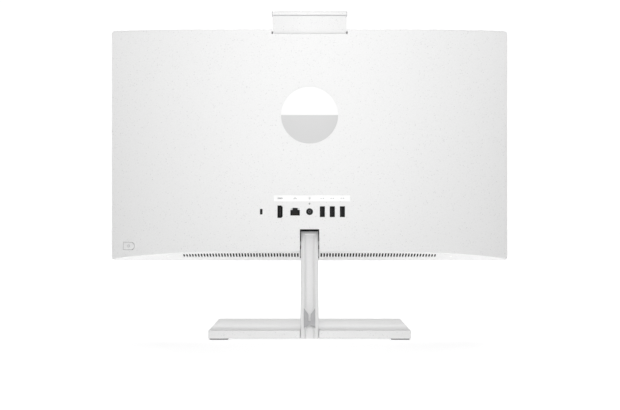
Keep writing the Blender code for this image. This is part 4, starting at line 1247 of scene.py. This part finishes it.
@dataclass
class Base:
    """Flat plate that the post stands on: shell, steel floor, ballast, rubber feet and two screws."""

    rounding: float = 0.0009
    wall: float = 0.002
    slot_width: float = 0.0245
    post_lean: float = radians(32)
    post_room: float = 0.0048
    foot_corner: float = 0.002
    foot_border: float = 0.001
    dish_slope: float = 0.0004
    dish: float = 0.0003
    cross_arm: float = 0.0018
    cross_half: float = 0.0003
    cross_depth: float = 0.0003

    def build(self) -> None:
        """Makes the shell afresh with a small rounding, then the parts under it."""
        low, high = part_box("base_cover")
        uncut = (low.z - 2 * self.rounding, high.z)
        shell = Workpiece.block("base_shell", (low.x, high.x), (low.y, high.y), uncut)
        shell.soften(self.rounding, 5)
        inside = high.z - self.wall
        hollow = Workpiece.block(
            "base_room", about(0, high.x - self.wall), about(0, high.y - self.wall), (-FAR, inside)
        )
        under = Workpiece.block("base_under", (2 * low.x, 2 * high.x), (2 * low.y, 2 * high.y), (-FAR, low.z))
        skin_low, skin_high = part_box("post_front_cover")
        slot_front = skin_high.y - (high.z - skin_low.z) * tan(self.post_lean) - self.post_room
        slot = Workpiece.block(
            "base_slot", about(0, self.slot_width / 2), (slot_front, 2 * high.y), about(0, FAR)
        )
        shell.cut(under, hollow, slot)
        shell.dress(SHELL, Group.STAND, ["base_cover"])
        refine("base_floor", SHEET_STEEL, Group.STAND, 0.0002)
        refine("base_weight", SHEET_STEEL, Group.STAND, 0.0006)
        for corner in ("front_left", "front_right", "rear_left", "rear_right"):
            self.make_foot(f"foot_{corner}")
        for side in ("left", "right"):
            self.make_screw(f"base_screw_{side}")

    def make_foot(self, node: str) -> None:
        """A rubber pad with rounded corners and a shallow dish in its sole.

        Args:
            node: the frame node that it stands for.
        """
        low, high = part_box(node)
        pad = Workpiece.block(f"{node}_pad", (low.x, high.x), (low.y, high.y), (low.z, high.z))
        pad.choose(runs_along(Axis.Z), "EDGE")
        pad.round_edges(self.foot_corner, 4)
        pad.choose(looking(Side.DOWN))
        pad.inset(self.foot_border)
        pad.inset(self.dish_slope, -self.dish)
        pad.leave()
        pad.dress(RUBBER, Group.STAND, [node])

    def make_screw(self, node: str) -> None:
        """A screw with a cross recess in its head.

        Args:
            node: the frame node that it stands for.
        """
        screw = Workpiece.like(node, f"{node}_cross")
        low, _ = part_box(node)
        x, y, _ = centre(node)
        deep = (low.z - FAR, low.z + self.cross_depth)
        long, short = self.cross_arm, self.cross_half
        across = Workpiece.block("cross_across", about(x, long), about(y, short), deep)
        along = Workpiece.block("cross_along", about(x, short), about(y, long), deep)
        screw.cut(across, along)
        screw.dress(STEEL, Group.STAND, [node])


@dataclass
class Post:
    """Leaning post: grooved white channel, steel spine, front skin, and the clip that holds the cables in."""

    edge: float = 0.0005

    def build(self) -> None:
        """Makes the post's pieces and the hinge at its head."""
        refine("post_channel", POST_WHITE, Group.STAND, self.edge, 3)
        refine("post_front_cover", POST_WHITE, Group.STAND, self.edge, 3)
        refine("post_spine", STEEL, Group.STAND)
        refine("cable_clip", CLIP_GREY, Group.STAND, 0.0004, 3)
        refine("hinge_shaft", STEEL, Group.STAND, 0.0004, 3)
        for side in ("left", "right"):
            refine(f"hinge_nut_{side}", STEEL, Group.STAND)
        refine("hinge_bracket", SHEET_STEEL, Group.DISPLAY)
        refine("stand_pocket", BLACK, Group.DISPLAY, 0.0002)


@dataclass
class Sockets:
    """The row of sockets, the lock slot, the status lamp, and the label with its small marks."""

    cover: RearCover
    cavity: float = 0.0095
    contact_x: Span = (-0.0002, 0.0001)
    contact_z: Span = (-0.0043, -0.0033)
    contact_pitch: float = 0.0025
    contact_end: float = 0.0035
    tongue_x: Span = (-0.0001, 0.0019)
    tongue_y: Span = (-0.0028, -0.0011)
    tongue_half: float = 0.0056
    pin_x: Span = (0.0009, 0.0011)
    pin_z: Span = (-0.0047, -0.0042)
    pin_end: float = 0.003
    pin_pitch: float = 0.001
    pin_rows_apart: float = 0.002
    pins: int = 10
    network_wall: float = 0.0014
    wires: int = 8
    wire_pitch: float = 0.00102
    wire_half: float = 0.0002
    wire_y: Span = (-0.011, -0.004)
    wire_z: Span = (0.0003, 0.0007)
    wire_bend: Point = (0, 0.002, 0.0022)
    port_lamp_x: float = 0.0049
    port_lamp_drop: float = 0.0014
    sleeve_radius: float = 0.0020
    sleeve_bore: float = 0.0012
    sleeve_length: float = 0.007
    sleeve_lift: float = 0.0004
    shade_sheet_y: Span = (-0.0005, 0.0001)
    mark_depth: float = 0.0001
    mark_proud: float = 0.00062

    def build(self) -> None:
        """Makes the sockets and what shows inside them, then the label."""
        for number in (1, 2, 3):
            self.make_data_socket(f"data_socket_{number}")
        self.make_video_socket()
        self.make_network_socket()
        self.make_power_socket()
        refine("lock_plate", SHADED_SOCKET_STEEL, Group.DISPLAY, 0.0002)
        self.make_lock_shade_sheet()
        refine("status_light", STATUS, Group.DISPLAY, 0.0002, 3)
        self.make_label()

    def make_lock_shade_sheet(self) -> None:
        """A thin black sheet behind the lock slot, painted shade so that the slot reads dark and nothing
        shows through it.
        """
        low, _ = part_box("lock_plate")
        x, _, z = centre("lock_plate")
        ys = placed(self.shade_sheet_y, low.y)
        # painted shade: a black sheet where the inside of the slot is only in shadow
        sheet = Workpiece.block("lock_backing", about(x, 0.004), ys, about(z, 0.006))
        sheet.soften(0.0001, 2)
        sheet.dress(SOCKET_BLACK, Group.DISPLAY)

    def make_data_socket(self, node: str) -> None:
        """A shell painted near-black for the shade inside it, with four gilt contacts along its tongue.

        Args:
            node: the frame node that it stands for.
        """
        refine(node, SHADED_SOCKET_STEEL, Group.DISPLAY, 0.00012)
        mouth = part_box(node)[1].y
        x, _, z = centre(node)
        deep = (mouth - self.cavity, mouth - self.contact_end)
        strip = Workpiece.block(
            f"{node}_contacts", placed(self.contact_x, x), deep, placed(self.contact_z, z)
        )
        strip.soften(0.0001, 2)
        strip.repeat([(0, 0, step * self.contact_pitch) for step in (1, 2, 3)])
        strip.dress(CONTACT, Group.DISPLAY)
        bar = Workpiece.block(
            f"{node}_tongue_face", placed(self.tongue_x, x), placed(self.tongue_y, mouth),
            about(z, self.tongue_half),
        )
        bar.soften(0.0003, 3)
        bar.dress(SOCKET_BLACK, Group.DISPLAY)

    def make_video_socket(self) -> None:
        """A shell painted near-black for the shade inside it, with two rows of fine contacts on its tongue.
        """
        node = "video_socket"
        refine(node, SHADED_SOCKET_STEEL, Group.DISPLAY, 0.00012)
        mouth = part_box(node)[1].y
        x, _, z = centre(node)
        deep = (mouth - self.cavity, mouth - self.pin_end)
        row = Workpiece.block("video_contacts", placed(self.pin_x, x), deep, placed(self.pin_z, z))
        row.soften(0.00005, 1)
        first = [(0, 0, step * self.pin_pitch) for step in range(1, self.pins)]
        second = [(-self.pin_rows_apart, 0, step * self.pin_pitch) for step in range(self.pins)]
        row.repeat(first + second)
        row.dress(CONTACT, Group.DISPLAY)

    def make_network_socket(self) -> None:
        """A stepped black socket with eight spring wires and a lamp at each upper corner."""
        refine("network_socket", SOCKET_BLACK, Group.DISPLAY)
        low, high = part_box("network_socket")
        x = middle((low.x, high.x))
        first = x - (self.wires - 1) / 2 * self.wire_pitch
        wire = Workpiece.block(
            "network_wires", about(first, self.wire_half), placed(self.wire_y, high.y),
            placed(self.wire_z, low.z + self.network_wall),
        )
        wire.choose(looking(Side.REAR))
        wire.extrude(self.wire_bend)
        wire.leave()
        wire.soften(0.0001, 2)
        wire.repeat([(step * self.wire_pitch, 0, 0) for step in range(1, self.wires)])
        wire.dress(CONTACT, Group.DISPLAY)
        lamp_z = high.z - self.network_wall - self.port_lamp_drop
        for side, sign in SIDES:
            lamp = Workpiece.block(f"network_lamp_{side}", about(0, 0.0011), (-0.0006, 0.0), about(0, 0.001))
            lamp.soften(0.0002, 3)
            lamp.carry(self.cover.seat(x + sign * self.port_lamp_x, lamp_z, 0.0001))
            lamp.dress(PORT_LAMP, Group.DISPLAY)

    def make_power_socket(self) -> None:
        """A round black inlet with a metal sleeve round its pin."""
        refine("power_socket", SOCKET_BLACK, Group.DISPLAY, 0.0002, 3)
        x, _, z = centre("power_socket")
        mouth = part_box("power_socket")[1].y
        length = self.sleeve_length
        place = (x, mouth - self.cavity + length / 2 + self.sleeve_lift, z)
        sleeve = Workpiece.rod("power_sleeve", self.sleeve_radius, length, place, Axis.Y, 32)
        sleeve.cut(Workpiece.rod("sleeve_bore", self.sleeve_bore, 2 * length, place, Axis.Y, 24))
        sleeve.soften(0.0001, 2)
        sleeve.dress(SLEEVE, Group.DISPLAY)

    def make_label(self) -> None:
        """The pale strip over the row, with one small plain mark over each socket."""
        refine("socket_label", LABEL_WHITE, Group.DISPLAY, 0.00005, 1)
        z = centre("socket_label")[2]
        marks = {
            "video_socket": self.bar_mark,
            "network_socket": self.tree_mark,
            "power_socket": self.plug_mark,
            "data_socket_1": self.data_mark,
            "data_socket_2": self.data_mark,
            "data_socket_3": self.data_mark,
        }
        for node, draw in marks.items():
            mark = draw(f"{node}_mark")
            mark.carry(self.cover.seat(centre(node)[0], z, self.mark_proud))
            mark.dress(MARK_GREY, Group.DISPLAY)

    def plate(self, name: str, xs: Span, zs: Span) -> Workpiece:
        """A thin rectangle for a mark."""
        return Workpiece.block(name, xs, (-self.mark_depth, 0.0), zs)

    def dot(self, radius: float, x: float = 0.0) -> Workpiece:
        """A thin round spot for a mark."""
        place = (x, -self.mark_depth / 2, 0)
        return Workpiece.rod("mark_dot", radius, self.mark_depth, place, Axis.Y, 16).soften(0.00003, 2)

    def bar_mark(self, name: str) -> Workpiece:
        """A flat rounded frame with a bar in it."""
        border = self.plate(name, about(0, 0.0034), about(0, 0.0008))
        border.choose(runs_along(Axis.Y), "EDGE")
        border.round_edges(0.0006, 3)
        border.leave()
        border.cut(Workpiece.block("mark_room", about(0, 0.0028), about(0, FAR), about(0, 0.0004)))
        return border.add(self.plate("mark_bar", about(0, 0.0020), about(0, 0.0002)).soften(0.00004, 2))

    def tree_mark(self, name: str) -> Workpiece:
        """Three small squares joined by lines."""
        squares = self.plate(name, (-0.0019, -0.0009), (-0.0009, -0.0001)).soften(0.00004, 2)
        squares.repeat([(0.0028, 0, 0), (0.0014, 0, 0.0011)])
        return squares.add(self.plate("mark_line", about(0, 0.0015), (0.0, 0.00015)).soften(0.00003, 1))

    def plug_mark(self, name: str) -> Workpiece:
        """A small ring with a dot in it."""
        ring = Workpiece.ring(name, 0.0012, 0.00013, (0, -self.mark_depth, 0), Axis.Y, 32, 6)
        return ring.add(self.dot(0.0004))

    def data_mark(self, name: str) -> Workpiece:
        """A line with a round end and a square end."""
        line = self.plate(name, about(0, 0.0016), about(0, 0.0001)).soften(0.00003, 1)
        dot = self.dot(0.0005, 0.0018)
        end = self.plate("mark_end", (-0.0022, -0.0014), about(0, 0.0004)).soften(0.00004, 2)
        return line.add(dot, end)


@dataclass
class Trim:
    """The plain round badge, the power button and two small plugs in the sloping band."""

    cover: RearCover
    plug_x: float = 0.192
    plug_radius: float = 0.0017
    plug_length: float = 0.0008
    plug_place: float = 0.55
    badge_border: float = 0.0010
    badge_step: float = 0.0001
    ring_radius: float = 0.0017
    ring_wire: float = 0.00014
    stroke_half: float = 0.00012
    stroke_z: Span = (0.0003, 0.0018)
    mark_proud: float = 0.00032

    def build(self) -> None:
        """Makes the badge, the button with its ring mark, and the plugs."""
        self.make_badge()
        self.make_button()
        refine("button_board", BOARD, Group.DISPLAY, 0.0002)
        cover = self.cover
        for side, sign in SIDES:
            plug = Workpiece.rod(
                f"band_plug_{side}", self.plug_radius, self.plug_length, (0, 0, 0), Axis.Z, 24
            )
            plug.soften(0.0003, 3)
            x = sign * self.plug_x
            depth = self.plug_place * cover.bulge(x, cover.low)
            up = cover.low + cover.band_lift + cover.slope * depth
            turn = Matrix.Rotation(atan(cover.slope), 4, "X")
            plug.carry(Matrix.Translation((x, cover.rim_y + depth, up)) @ turn)
            plug.dress(LABEL_WHITE, Group.DISPLAY)

    def make_badge(self) -> None:
        """A thin disc with a turned step near its rim."""
        badge = Workpiece.like("badge_disc", "badge_plain")
        badge.soften(0.0002, 3)
        badge.choose(looking(Side.REAR, 0.98))
        badge.inset(self.badge_border)
        badge.inset(0.0003, -self.badge_step)
        badge.leave()
        # the badge's pale top and grey bottom are a painted reflection
        finish = PaintedReflectionDisc("badge_two_tone", "mirror", centre("badge_disc")[2])
        badge.dress(finish, Group.DISPLAY, ["badge_disc"])

    def make_button(self) -> None:
        """The D-shaped button, with a thin ring and stroke on it."""
        refine("power_button", SHELL, Group.BUTTON, 0.00025, 3)
        x, _, z = centre("power_button")
        ring = Workpiece.ring("button_mark", self.ring_radius, self.ring_wire, (0, 0, 0), Axis.Y, 32, 6)
        stroke = Workpiece.block("button_stroke", about(0, self.stroke_half), about(0, 0.0001), self.stroke_z)
        stroke.soften(0.00005, 2)
        ring.add(stroke)
        ring.carry(self.cover.seat(x, z, self.mark_proud))
        ring.dress(MARK_GREY, Group.BUTTON)


@dataclass
class PopUpCamera:
    """Camera that slides up out of the top edge, with its bay, spring and latch."""

    cap_end: float = 0.0009
    cap_proud: float = 0.0001
    cap_set_back: float = 0.001
    rear_proud: float = 0.00005
    shade_inset: float = 0.0003
    shadow_height: float = 0.0008
    spring_turns: int = 7
    spring_steps: int = 24
    spring_radius: float = 0.0035
    spring_wire: float = 0.0004
    lens_rings: Span = (0.0034, 0.0022)
    ring_wire: float = 0.0002
    microphone_x: float = 0.030
    microphone_radius: float = 0.0009
    microphone_wire: float = 0.00012

    def build(self) -> None:
        """Makes the moving pieces, then the fixed ones."""
        self.make_cap()
        refine("camera_housing", SHELL, Group.CAMERA, 0.0004, 3)
        self.make_window()
        refine("camera_board", BOARD, Group.CAMERA, 0.0002)
        refine("camera_bay", BLACK, Group.DISPLAY)
        refine("camera_latch", CLIP_GREY, Group.DISPLAY, 0.0005, 3)
        self.make_spring()

    def make_cap(self) -> None:
        """The cap, with a grey strip of painted shadow under its rear lip and a darker grey plate of painted
        shade at each end of the notch.
        """
        refine("camera_cap", SHELL, Group.CAMERA, steps=3)
        low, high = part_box("camera_cap")
        ys = (low.y + self.cap_set_back, high.y + self.rear_proud)
        inset, proud = self.shade_inset, self.cap_proud
        # painted shadow: a grey strip where the cap's rear lip shades the housing
        shadow_strip = Workpiece.block(
            "camera_seal", (low.x + inset, high.x - inset), ys, (low.z - proud, low.z + self.shadow_height)
        )
        shadow_strip.soften(0.0002, 2)
        shadow_strip.dress(CAP_SHADOW_GREY, Group.CAMERA)
        # painted shade: grey plates where the notch stands open beyond each end of the cap
        for side, x in (("left", low.x - proud), ("right", high.x - self.cap_end + proud)):
            end = Workpiece.block(
                f"camera_notch_end_shade_{side}", (x, x + self.cap_end), ys, (low.z, high.z - inset)
            )
            end.soften(0.0002, 2)
            end.dress(NOTCH_END_SHADE, Group.CAMERA)

    def make_window(self) -> None:
        """The dark pane, the stepped lens behind it and two microphone rings in front."""
        refine("camera_window", WINDOW, Group.CAMERA, 0.0002)
        x, _, z = centre("camera_lens")
        place = (x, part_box("camera_lens")[0].y, z)
        refine("camera_lens", LENS, Group.CAMERA, 0.0005, 3)
        for name, radius in zip(("lens_ring_outer", "lens_ring_inner"), self.lens_rings):
            ring = Workpiece.ring(name, radius, self.ring_wire, place, Axis.Y, 40, 8)
            ring.dress(STEEL, Group.CAMERA)
        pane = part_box("camera_window")[0].y + self.rear_proud
        for side, sign in SIDES:
            ring = Workpiece.ring(
                f"microphone_{side}", self.microphone_radius, self.microphone_wire,
                (sign * self.microphone_x, pane, z), Axis.Y, 24, 6,
            )
            ring.dress(BLACK, Group.CAMERA)

    def make_spring(self) -> None:
        """The coil that lifts the camera."""
        low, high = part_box("camera_spring")
        y = middle((low.y, high.y))
        guide = bpy.data.curves.new("camera_coil", "CURVE")
        guide.dimensions = "3D"
        guide.bevel_depth = self.spring_wire
        guide.bevel_resolution = 2
        guide.use_fill_caps = True
        steps = self.spring_turns * self.spring_steps
        spline = guide.splines.new("POLY")
        spline.points.add(steps)
        start, end = low.z + self.spring_wire, high.z - self.spring_wire
        for number, point in enumerate(spline.points):
            angle = number / self.spring_steps * 2 * pi
            rise = start + (end - start) * number / steps
            point.co = (self.spring_radius * cos(angle), y + self.spring_radius * sin(angle), rise, 1.0)
        obj = bpy.data.objects.new("camera_coil", guide)
        bpy.context.scene.collection.objects.link(obj)
        take_up(obj)
        bpy.ops.object.convert(target="MESH")
        coil = Workpiece(bpy.context.view_layer.objects.active)
        coil.weld().leave()
        coil.dress(STEEL, Group.DISPLAY, ["camera_spring"], 60.0)
        travel = next(joint for joint in frame["joints"] if joint["name"] == "camera_slide")
        length = high.z - low.z
        keep = (length + min(travel["range_m"])) / length
        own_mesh(coil.obj)


@dataclass
class Front:
    """What faces the user: black frame, screen glass, backlight, and the steel plate that carries it all."""

    glass_border: float = 0.0040

    def build(self) -> None:
        """Makes the frame, the glass and what lies behind them."""
        refine("front_frame", BLACK, Group.DISPLAY, 0.0006, 3)
        glass = Workpiece.like("screen_glass", "screen_glass_fine")
        glass.soften(0.0002, 2)
        glass.choose(looking(Side.FRONT, 0.98))
        glass.inset(self.glass_border)
        glass.leave()
        glass.dress(SCREEN, Group.DISPLAY, ["screen_glass"])
        refine("backlight", LAMP_CASE, Group.DISPLAY, 0.0004)
        refine("chassis_plate", SHEET_STEEL, Group.DISPLAY, 0.0002)
        refine("screen_ribbon", RIBBON, Group.DISPLAY, 0.00005, 1)


@dataclass
class Electronics:
    """Main board with what is plugged into it, the drive in its tray, and the two speakers."""

    chip: float = 0.0012
    flat_chip: float = 0.0006
    hub_x: Span = (0.012, 0.032)
    hub_z: Span = (0.048, 0.068)
    small_x: Span = (0.050, 0.058)
    small_z: Span = (0.040, 0.048)
    can_radius: float = 0.0022
    can_length: float = 0.004
    can_x: float = -0.006
    can_z: float = 0.072
    memory_chip_x: Span = (0.006, 0.018)
    memory_chip_z: Span = (0.010, 0.020)
    memory_pitch: float = 0.0145
    finger_x: Span = (0.004, 0.005)
    finger_z: Span = (0.001, 0.004)
    finger_pitch: float = 0.002
    fingers: int = 30
    lid_border: float = 0.004
    lid_thickness: float = 0.0004
    lid_oval: float = 0.008
    cone_radius: float = 0.0075
    cone_places: Span = (0.28, 0.72)

    def build(self) -> None:
        """Makes the boards, the drive and the speakers."""
        refine("main_board", BOARD, Group.DISPLAY, 0.0002)
        self.make_main_chips()
        for number in (1, 2):
            self.make_memory(f"memory_{number}")
        self.make_plain_card("solid_state_drive", BLACK, SOCKET_BLACK, 4)
        self.make_plain_card("radio_card", BOARD, SHEET_STEEL, 2)
        self.make_cell()
        refine("hard_drive", ALUMINIUM, Group.DISPLAY, 0.0005, 3)
        refine("drive_caddy", SHEET_STEEL, Group.DISPLAY, 0.0002)
        self.make_drive_lid()
        for side in ("left", "right"):
            self.make_speaker(f"speaker_{side}")

    def make_main_chips(self) -> None:
        """Square chips and a row of small upright capacitors on the main board's free places."""
        low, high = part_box("main_board")
        skin = high.y
        up = (skin, skin + self.chip)
        chip = Workpiece.block("board_hub", self.hub_x, up, placed(self.hub_z, low.z))
        chip.choose(looking(Side.REAR))
        chip.inset(0.002)
        chip.inset(0.0008, 0.0003)
        chip.leave()
        chip.soften(0.0003, 2)
        chip.dress(BLACK, Group.DISPLAY)
        small = Workpiece.block("board_chips", self.small_x, up, placed(self.small_z, low.z))
        small.soften(0.0002, 2)
        small.repeat([(0, 0, 0.014), (0, 0, 0.028), (0, 0, 0.104), (-0.066, 0, 0.002), (-0.066, 0, 0.016)])
        small.dress(BLACK, Group.DISPLAY)
        place = (self.can_x, skin + self.can_length / 2, low.z + self.can_z)
        can = Workpiece.rod("board_capacitors", self.can_radius, self.can_length, place, Axis.Y, 24)
        can.choose(looking(Side.REAR))
        can.inset(0.0004, 0.0002)
        can.leave()
        can.soften(0.0002, 2)
        can.repeat([(-0.006, 0, 0), (0, 0, -0.007), (-0.006, 0, -0.007)])
        can.dress(ALUMINIUM, Group.DISPLAY)

    def make_memory(self, node: str) -> None:
        """A memory board with four black chips and gilt fingers.

        Args:
            node: the frame node that it stands for.
        """
        refine(node, BOARD, Group.DISPLAY, 0.0002)
        low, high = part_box(node)
        chip = Workpiece.block(
            f"{node}_chips", placed(self.memory_chip_x, low.x), (high.y, high.y + self.flat_chip),
            placed(self.memory_chip_z, low.z),
        )
        chip.soften(0.0002, 2)
        chip.repeat([(step * self.memory_pitch, 0, 0) for step in (1, 2, 3)])
        chip.dress(BLACK, Group.DISPLAY)
        finger = Workpiece.block(
            f"{node}_fingers", placed(self.finger_x, low.x), about(high.y, 0.0001),
            placed(self.finger_z, low.z),
        )
        finger.soften(0.00004, 1)
        finger.repeat([(step * self.finger_pitch, 0, 0) for step in range(1, self.fingers)])
        finger.dress(CONTACT, Group.DISPLAY)

    def make_plain_card(self, node: str, finish: Finish, chip_finish: Finish, chips: int) -> None:
        """A small card with a few flat chips.

        Args:
            node: the frame node that it stands for.
            finish: what the card is made of.
            chip_finish: what the chips are made of.
            chips: how many chips it carries.
        """
        refine(node, finish, Group.DISPLAY, 0.0002)
        low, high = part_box(node)
        room = (high.x - low.x) / chips
        xs = (low.x + 0.15 * room, low.x + 0.85 * room)
        zs = (low.z + 0.004, high.z - 0.004)
        chip = Workpiece.block(f"{node}_chips", xs, (high.y, high.y + self.flat_chip), zs)
        chip.soften(0.0002, 2)
        chip.repeat([(step * room, 0, 0) for step in range(1, chips)])
        chip.dress(chip_finish, Group.DISPLAY)

    def make_cell(self) -> None:
        """The coin cell, with a turned rim."""
        cell = Workpiece.like("clock_cell", "clock_cell_fine")
        cell.choose(looking(Side.REAR, 0.98))
        cell.inset(0.0012, -0.0003)
        cell.leave()
        cell.soften(0.0004, 2, 50.0)
        cell.dress(STEEL, Group.DISPLAY, ["clock_cell"])

    def make_drive_lid(self) -> None:
        """A pressed lid with a sunk oval over the drive."""
        low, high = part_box("hard_drive")
        border = self.lid_border
        lid = Workpiece.block(
            "hard_drive_lid", (low.x + border, high.x - border), (high.y, high.y + self.lid_thickness),
            (low.z + border, high.z - border),
        )
        lid.choose(looking(Side.REAR))
        lid.inset(self.lid_oval, 0.0)
        lid.inset(0.001, -self.lid_thickness / 2)
        lid.leave()
        lid.soften(0.0001, 2)
        lid.dress(SHEET_STEEL, Group.DISPLAY)

    def make_speaker(self, node: str) -> None:
        """A closed box with two round drivers, each a cone inside a rubber ring.

        Args:
            node: the frame node that it stands for.
        """
        refine(node, BLACK, Group.DISPLAY, 0.0008, 3)
        low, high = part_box(node)
        z = middle((low.z, high.z))
        for number, share in enumerate(self.cone_places, 1):
            x = low.x + (high.x - low.x) * share
            place = (x, high.y + 0.0001, z)
            cone = Workpiece.rod(f"{node}_cone_{number}", self.cone_radius, 0.0006, place, Axis.Y, 40)
            cone.choose(looking(Side.REAR, 0.98))
            cone.inset(0.0030, -0.0004)
            cone.inset(0.0015, 0.0002)
            cone.leave()
            cone.dress(SOCKET_BLACK, Group.DISPLAY)
            place = (x, high.y + 0.0002, z)
            radius = self.cone_radius + 0.0003
            ring = Workpiece.ring(f"{node}_ring_{number}", radius, 0.0004, place, Axis.Y, 40, 8)
            ring.dress(RUBBER, Group.DISPLAY)


@dataclass
class Cooling:
    """Blower with curved blades, the fins at its outlet, and the pipe and plate that bring the heat."""

    blades: int = 11
    hub: float = 0.012
    hub_border: float = 0.003
    hub_dish: float = 0.0006
    hub_rounding: float = 0.0008
    blade_t: float = 0.0007
    blade_share: float = 0.94
    tip_clear: float = 0.0006
    sliver: float = 0.0001
    sweep: float = 0.9

    def build(self) -> None:
        """Makes the fixed pieces and the rotor."""
        refine("cold_plate", COPPER, Group.DISPLAY, 0.0004)
        pipe = Workpiece.like("heat_pipe", "heat_pipe_fine")
        pipe.dress(COPPER, Group.DISPLAY, ["heat_pipe"], 60.0)
        refine("fin_stack", COPPER, Group.DISPLAY, 0.0001, 1)
        refine("fan_housing", BLACK, Group.DISPLAY, 0.0005, 3)
        self.make_rotor()

    def make_rotor(self) -> None:
        """A dished hub with blades that are spun out of a short upright edge."""
        low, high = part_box("fan_rotor")
        thick = high.y - low.y
        rotor = Workpiece.rod("fan_rotor_fine", self.hub, thick, (0, 0, 0), Axis.Y, 48)
        rotor.choose(looking(Side.REAR, 0.98))
        rotor.inset(self.hub_border, -self.hub_dish)
        rotor.leave()
        rotor.soften(self.hub_rounding, 3)
        blade = self.make_blade(thick * self.blade_share, (high.x - low.x) / 2)
        for number in range(1, self.blades):
            copy = bpy.data.objects.new("blade", blade.obj.data.copy())
            copy.data.transform(Matrix.Rotation(2 * pi * number / self.blades, 4, "Y"))
            bpy.context.scene.collection.objects.link(copy)
            rotor.add(Workpiece(copy))
        rotor.add(blade)
        rotor.carry(Matrix.Translation(centre("fan_rotor")))
        rotor.dress(BLACK, Group.FAN, ["fan_rotor"])

    def make_blade(self, width: float, reach: float) -> Workpiece:
        """One curved blade from the hub to the rim.

        Args:
            width: its size along the axle.
            reach: the rotor's radius.

        Returns:
            The blade.
        """
        start = self.hub - self.hub_rounding
        length = reach - start - self.tip_clear
        rise = length / 2 / tan(self.sweep / 2)
        edge = self.sliver
        blade = Workpiece.block("blade", (start, start + edge), about(0, width / 2), (0.0, edge))
        blade.choose(looking(Side.LEFT))
        bpy.ops.mesh.select_all(action="INVERT")
        bpy.ops.mesh.delete(type="FACE")
        blade.choose(lambda line: max(v.co.z for v in line.verts) < edge / 2, "EDGE")
        bpy.ops.mesh.spin(steps=8, angle=self.sweep, center=(start + length / 2, 0, -rise), axis=(0, 1, 0))
        blade.leave()
        blade.modify("SOLIDIFY", thickness=self.blade_t, offset=0.0)
        return blade


def main() -> None:
    """Builds every sub-assembly in order."""
    logging.basicConfig(level=logging.INFO, format="%(message)s")
    Studio().build()
    cover = RearCover()
    cover.build()
    others = (Base(), Post(), Sockets(cover), Trim(cover), PopUpCamera(), Front(), Electronics(), Cooling())
    for assembly in others:
        assembly.build()
        LOG.info("finished %s", type(assembly).__name__)


if __name__ == "__main__":
    main()
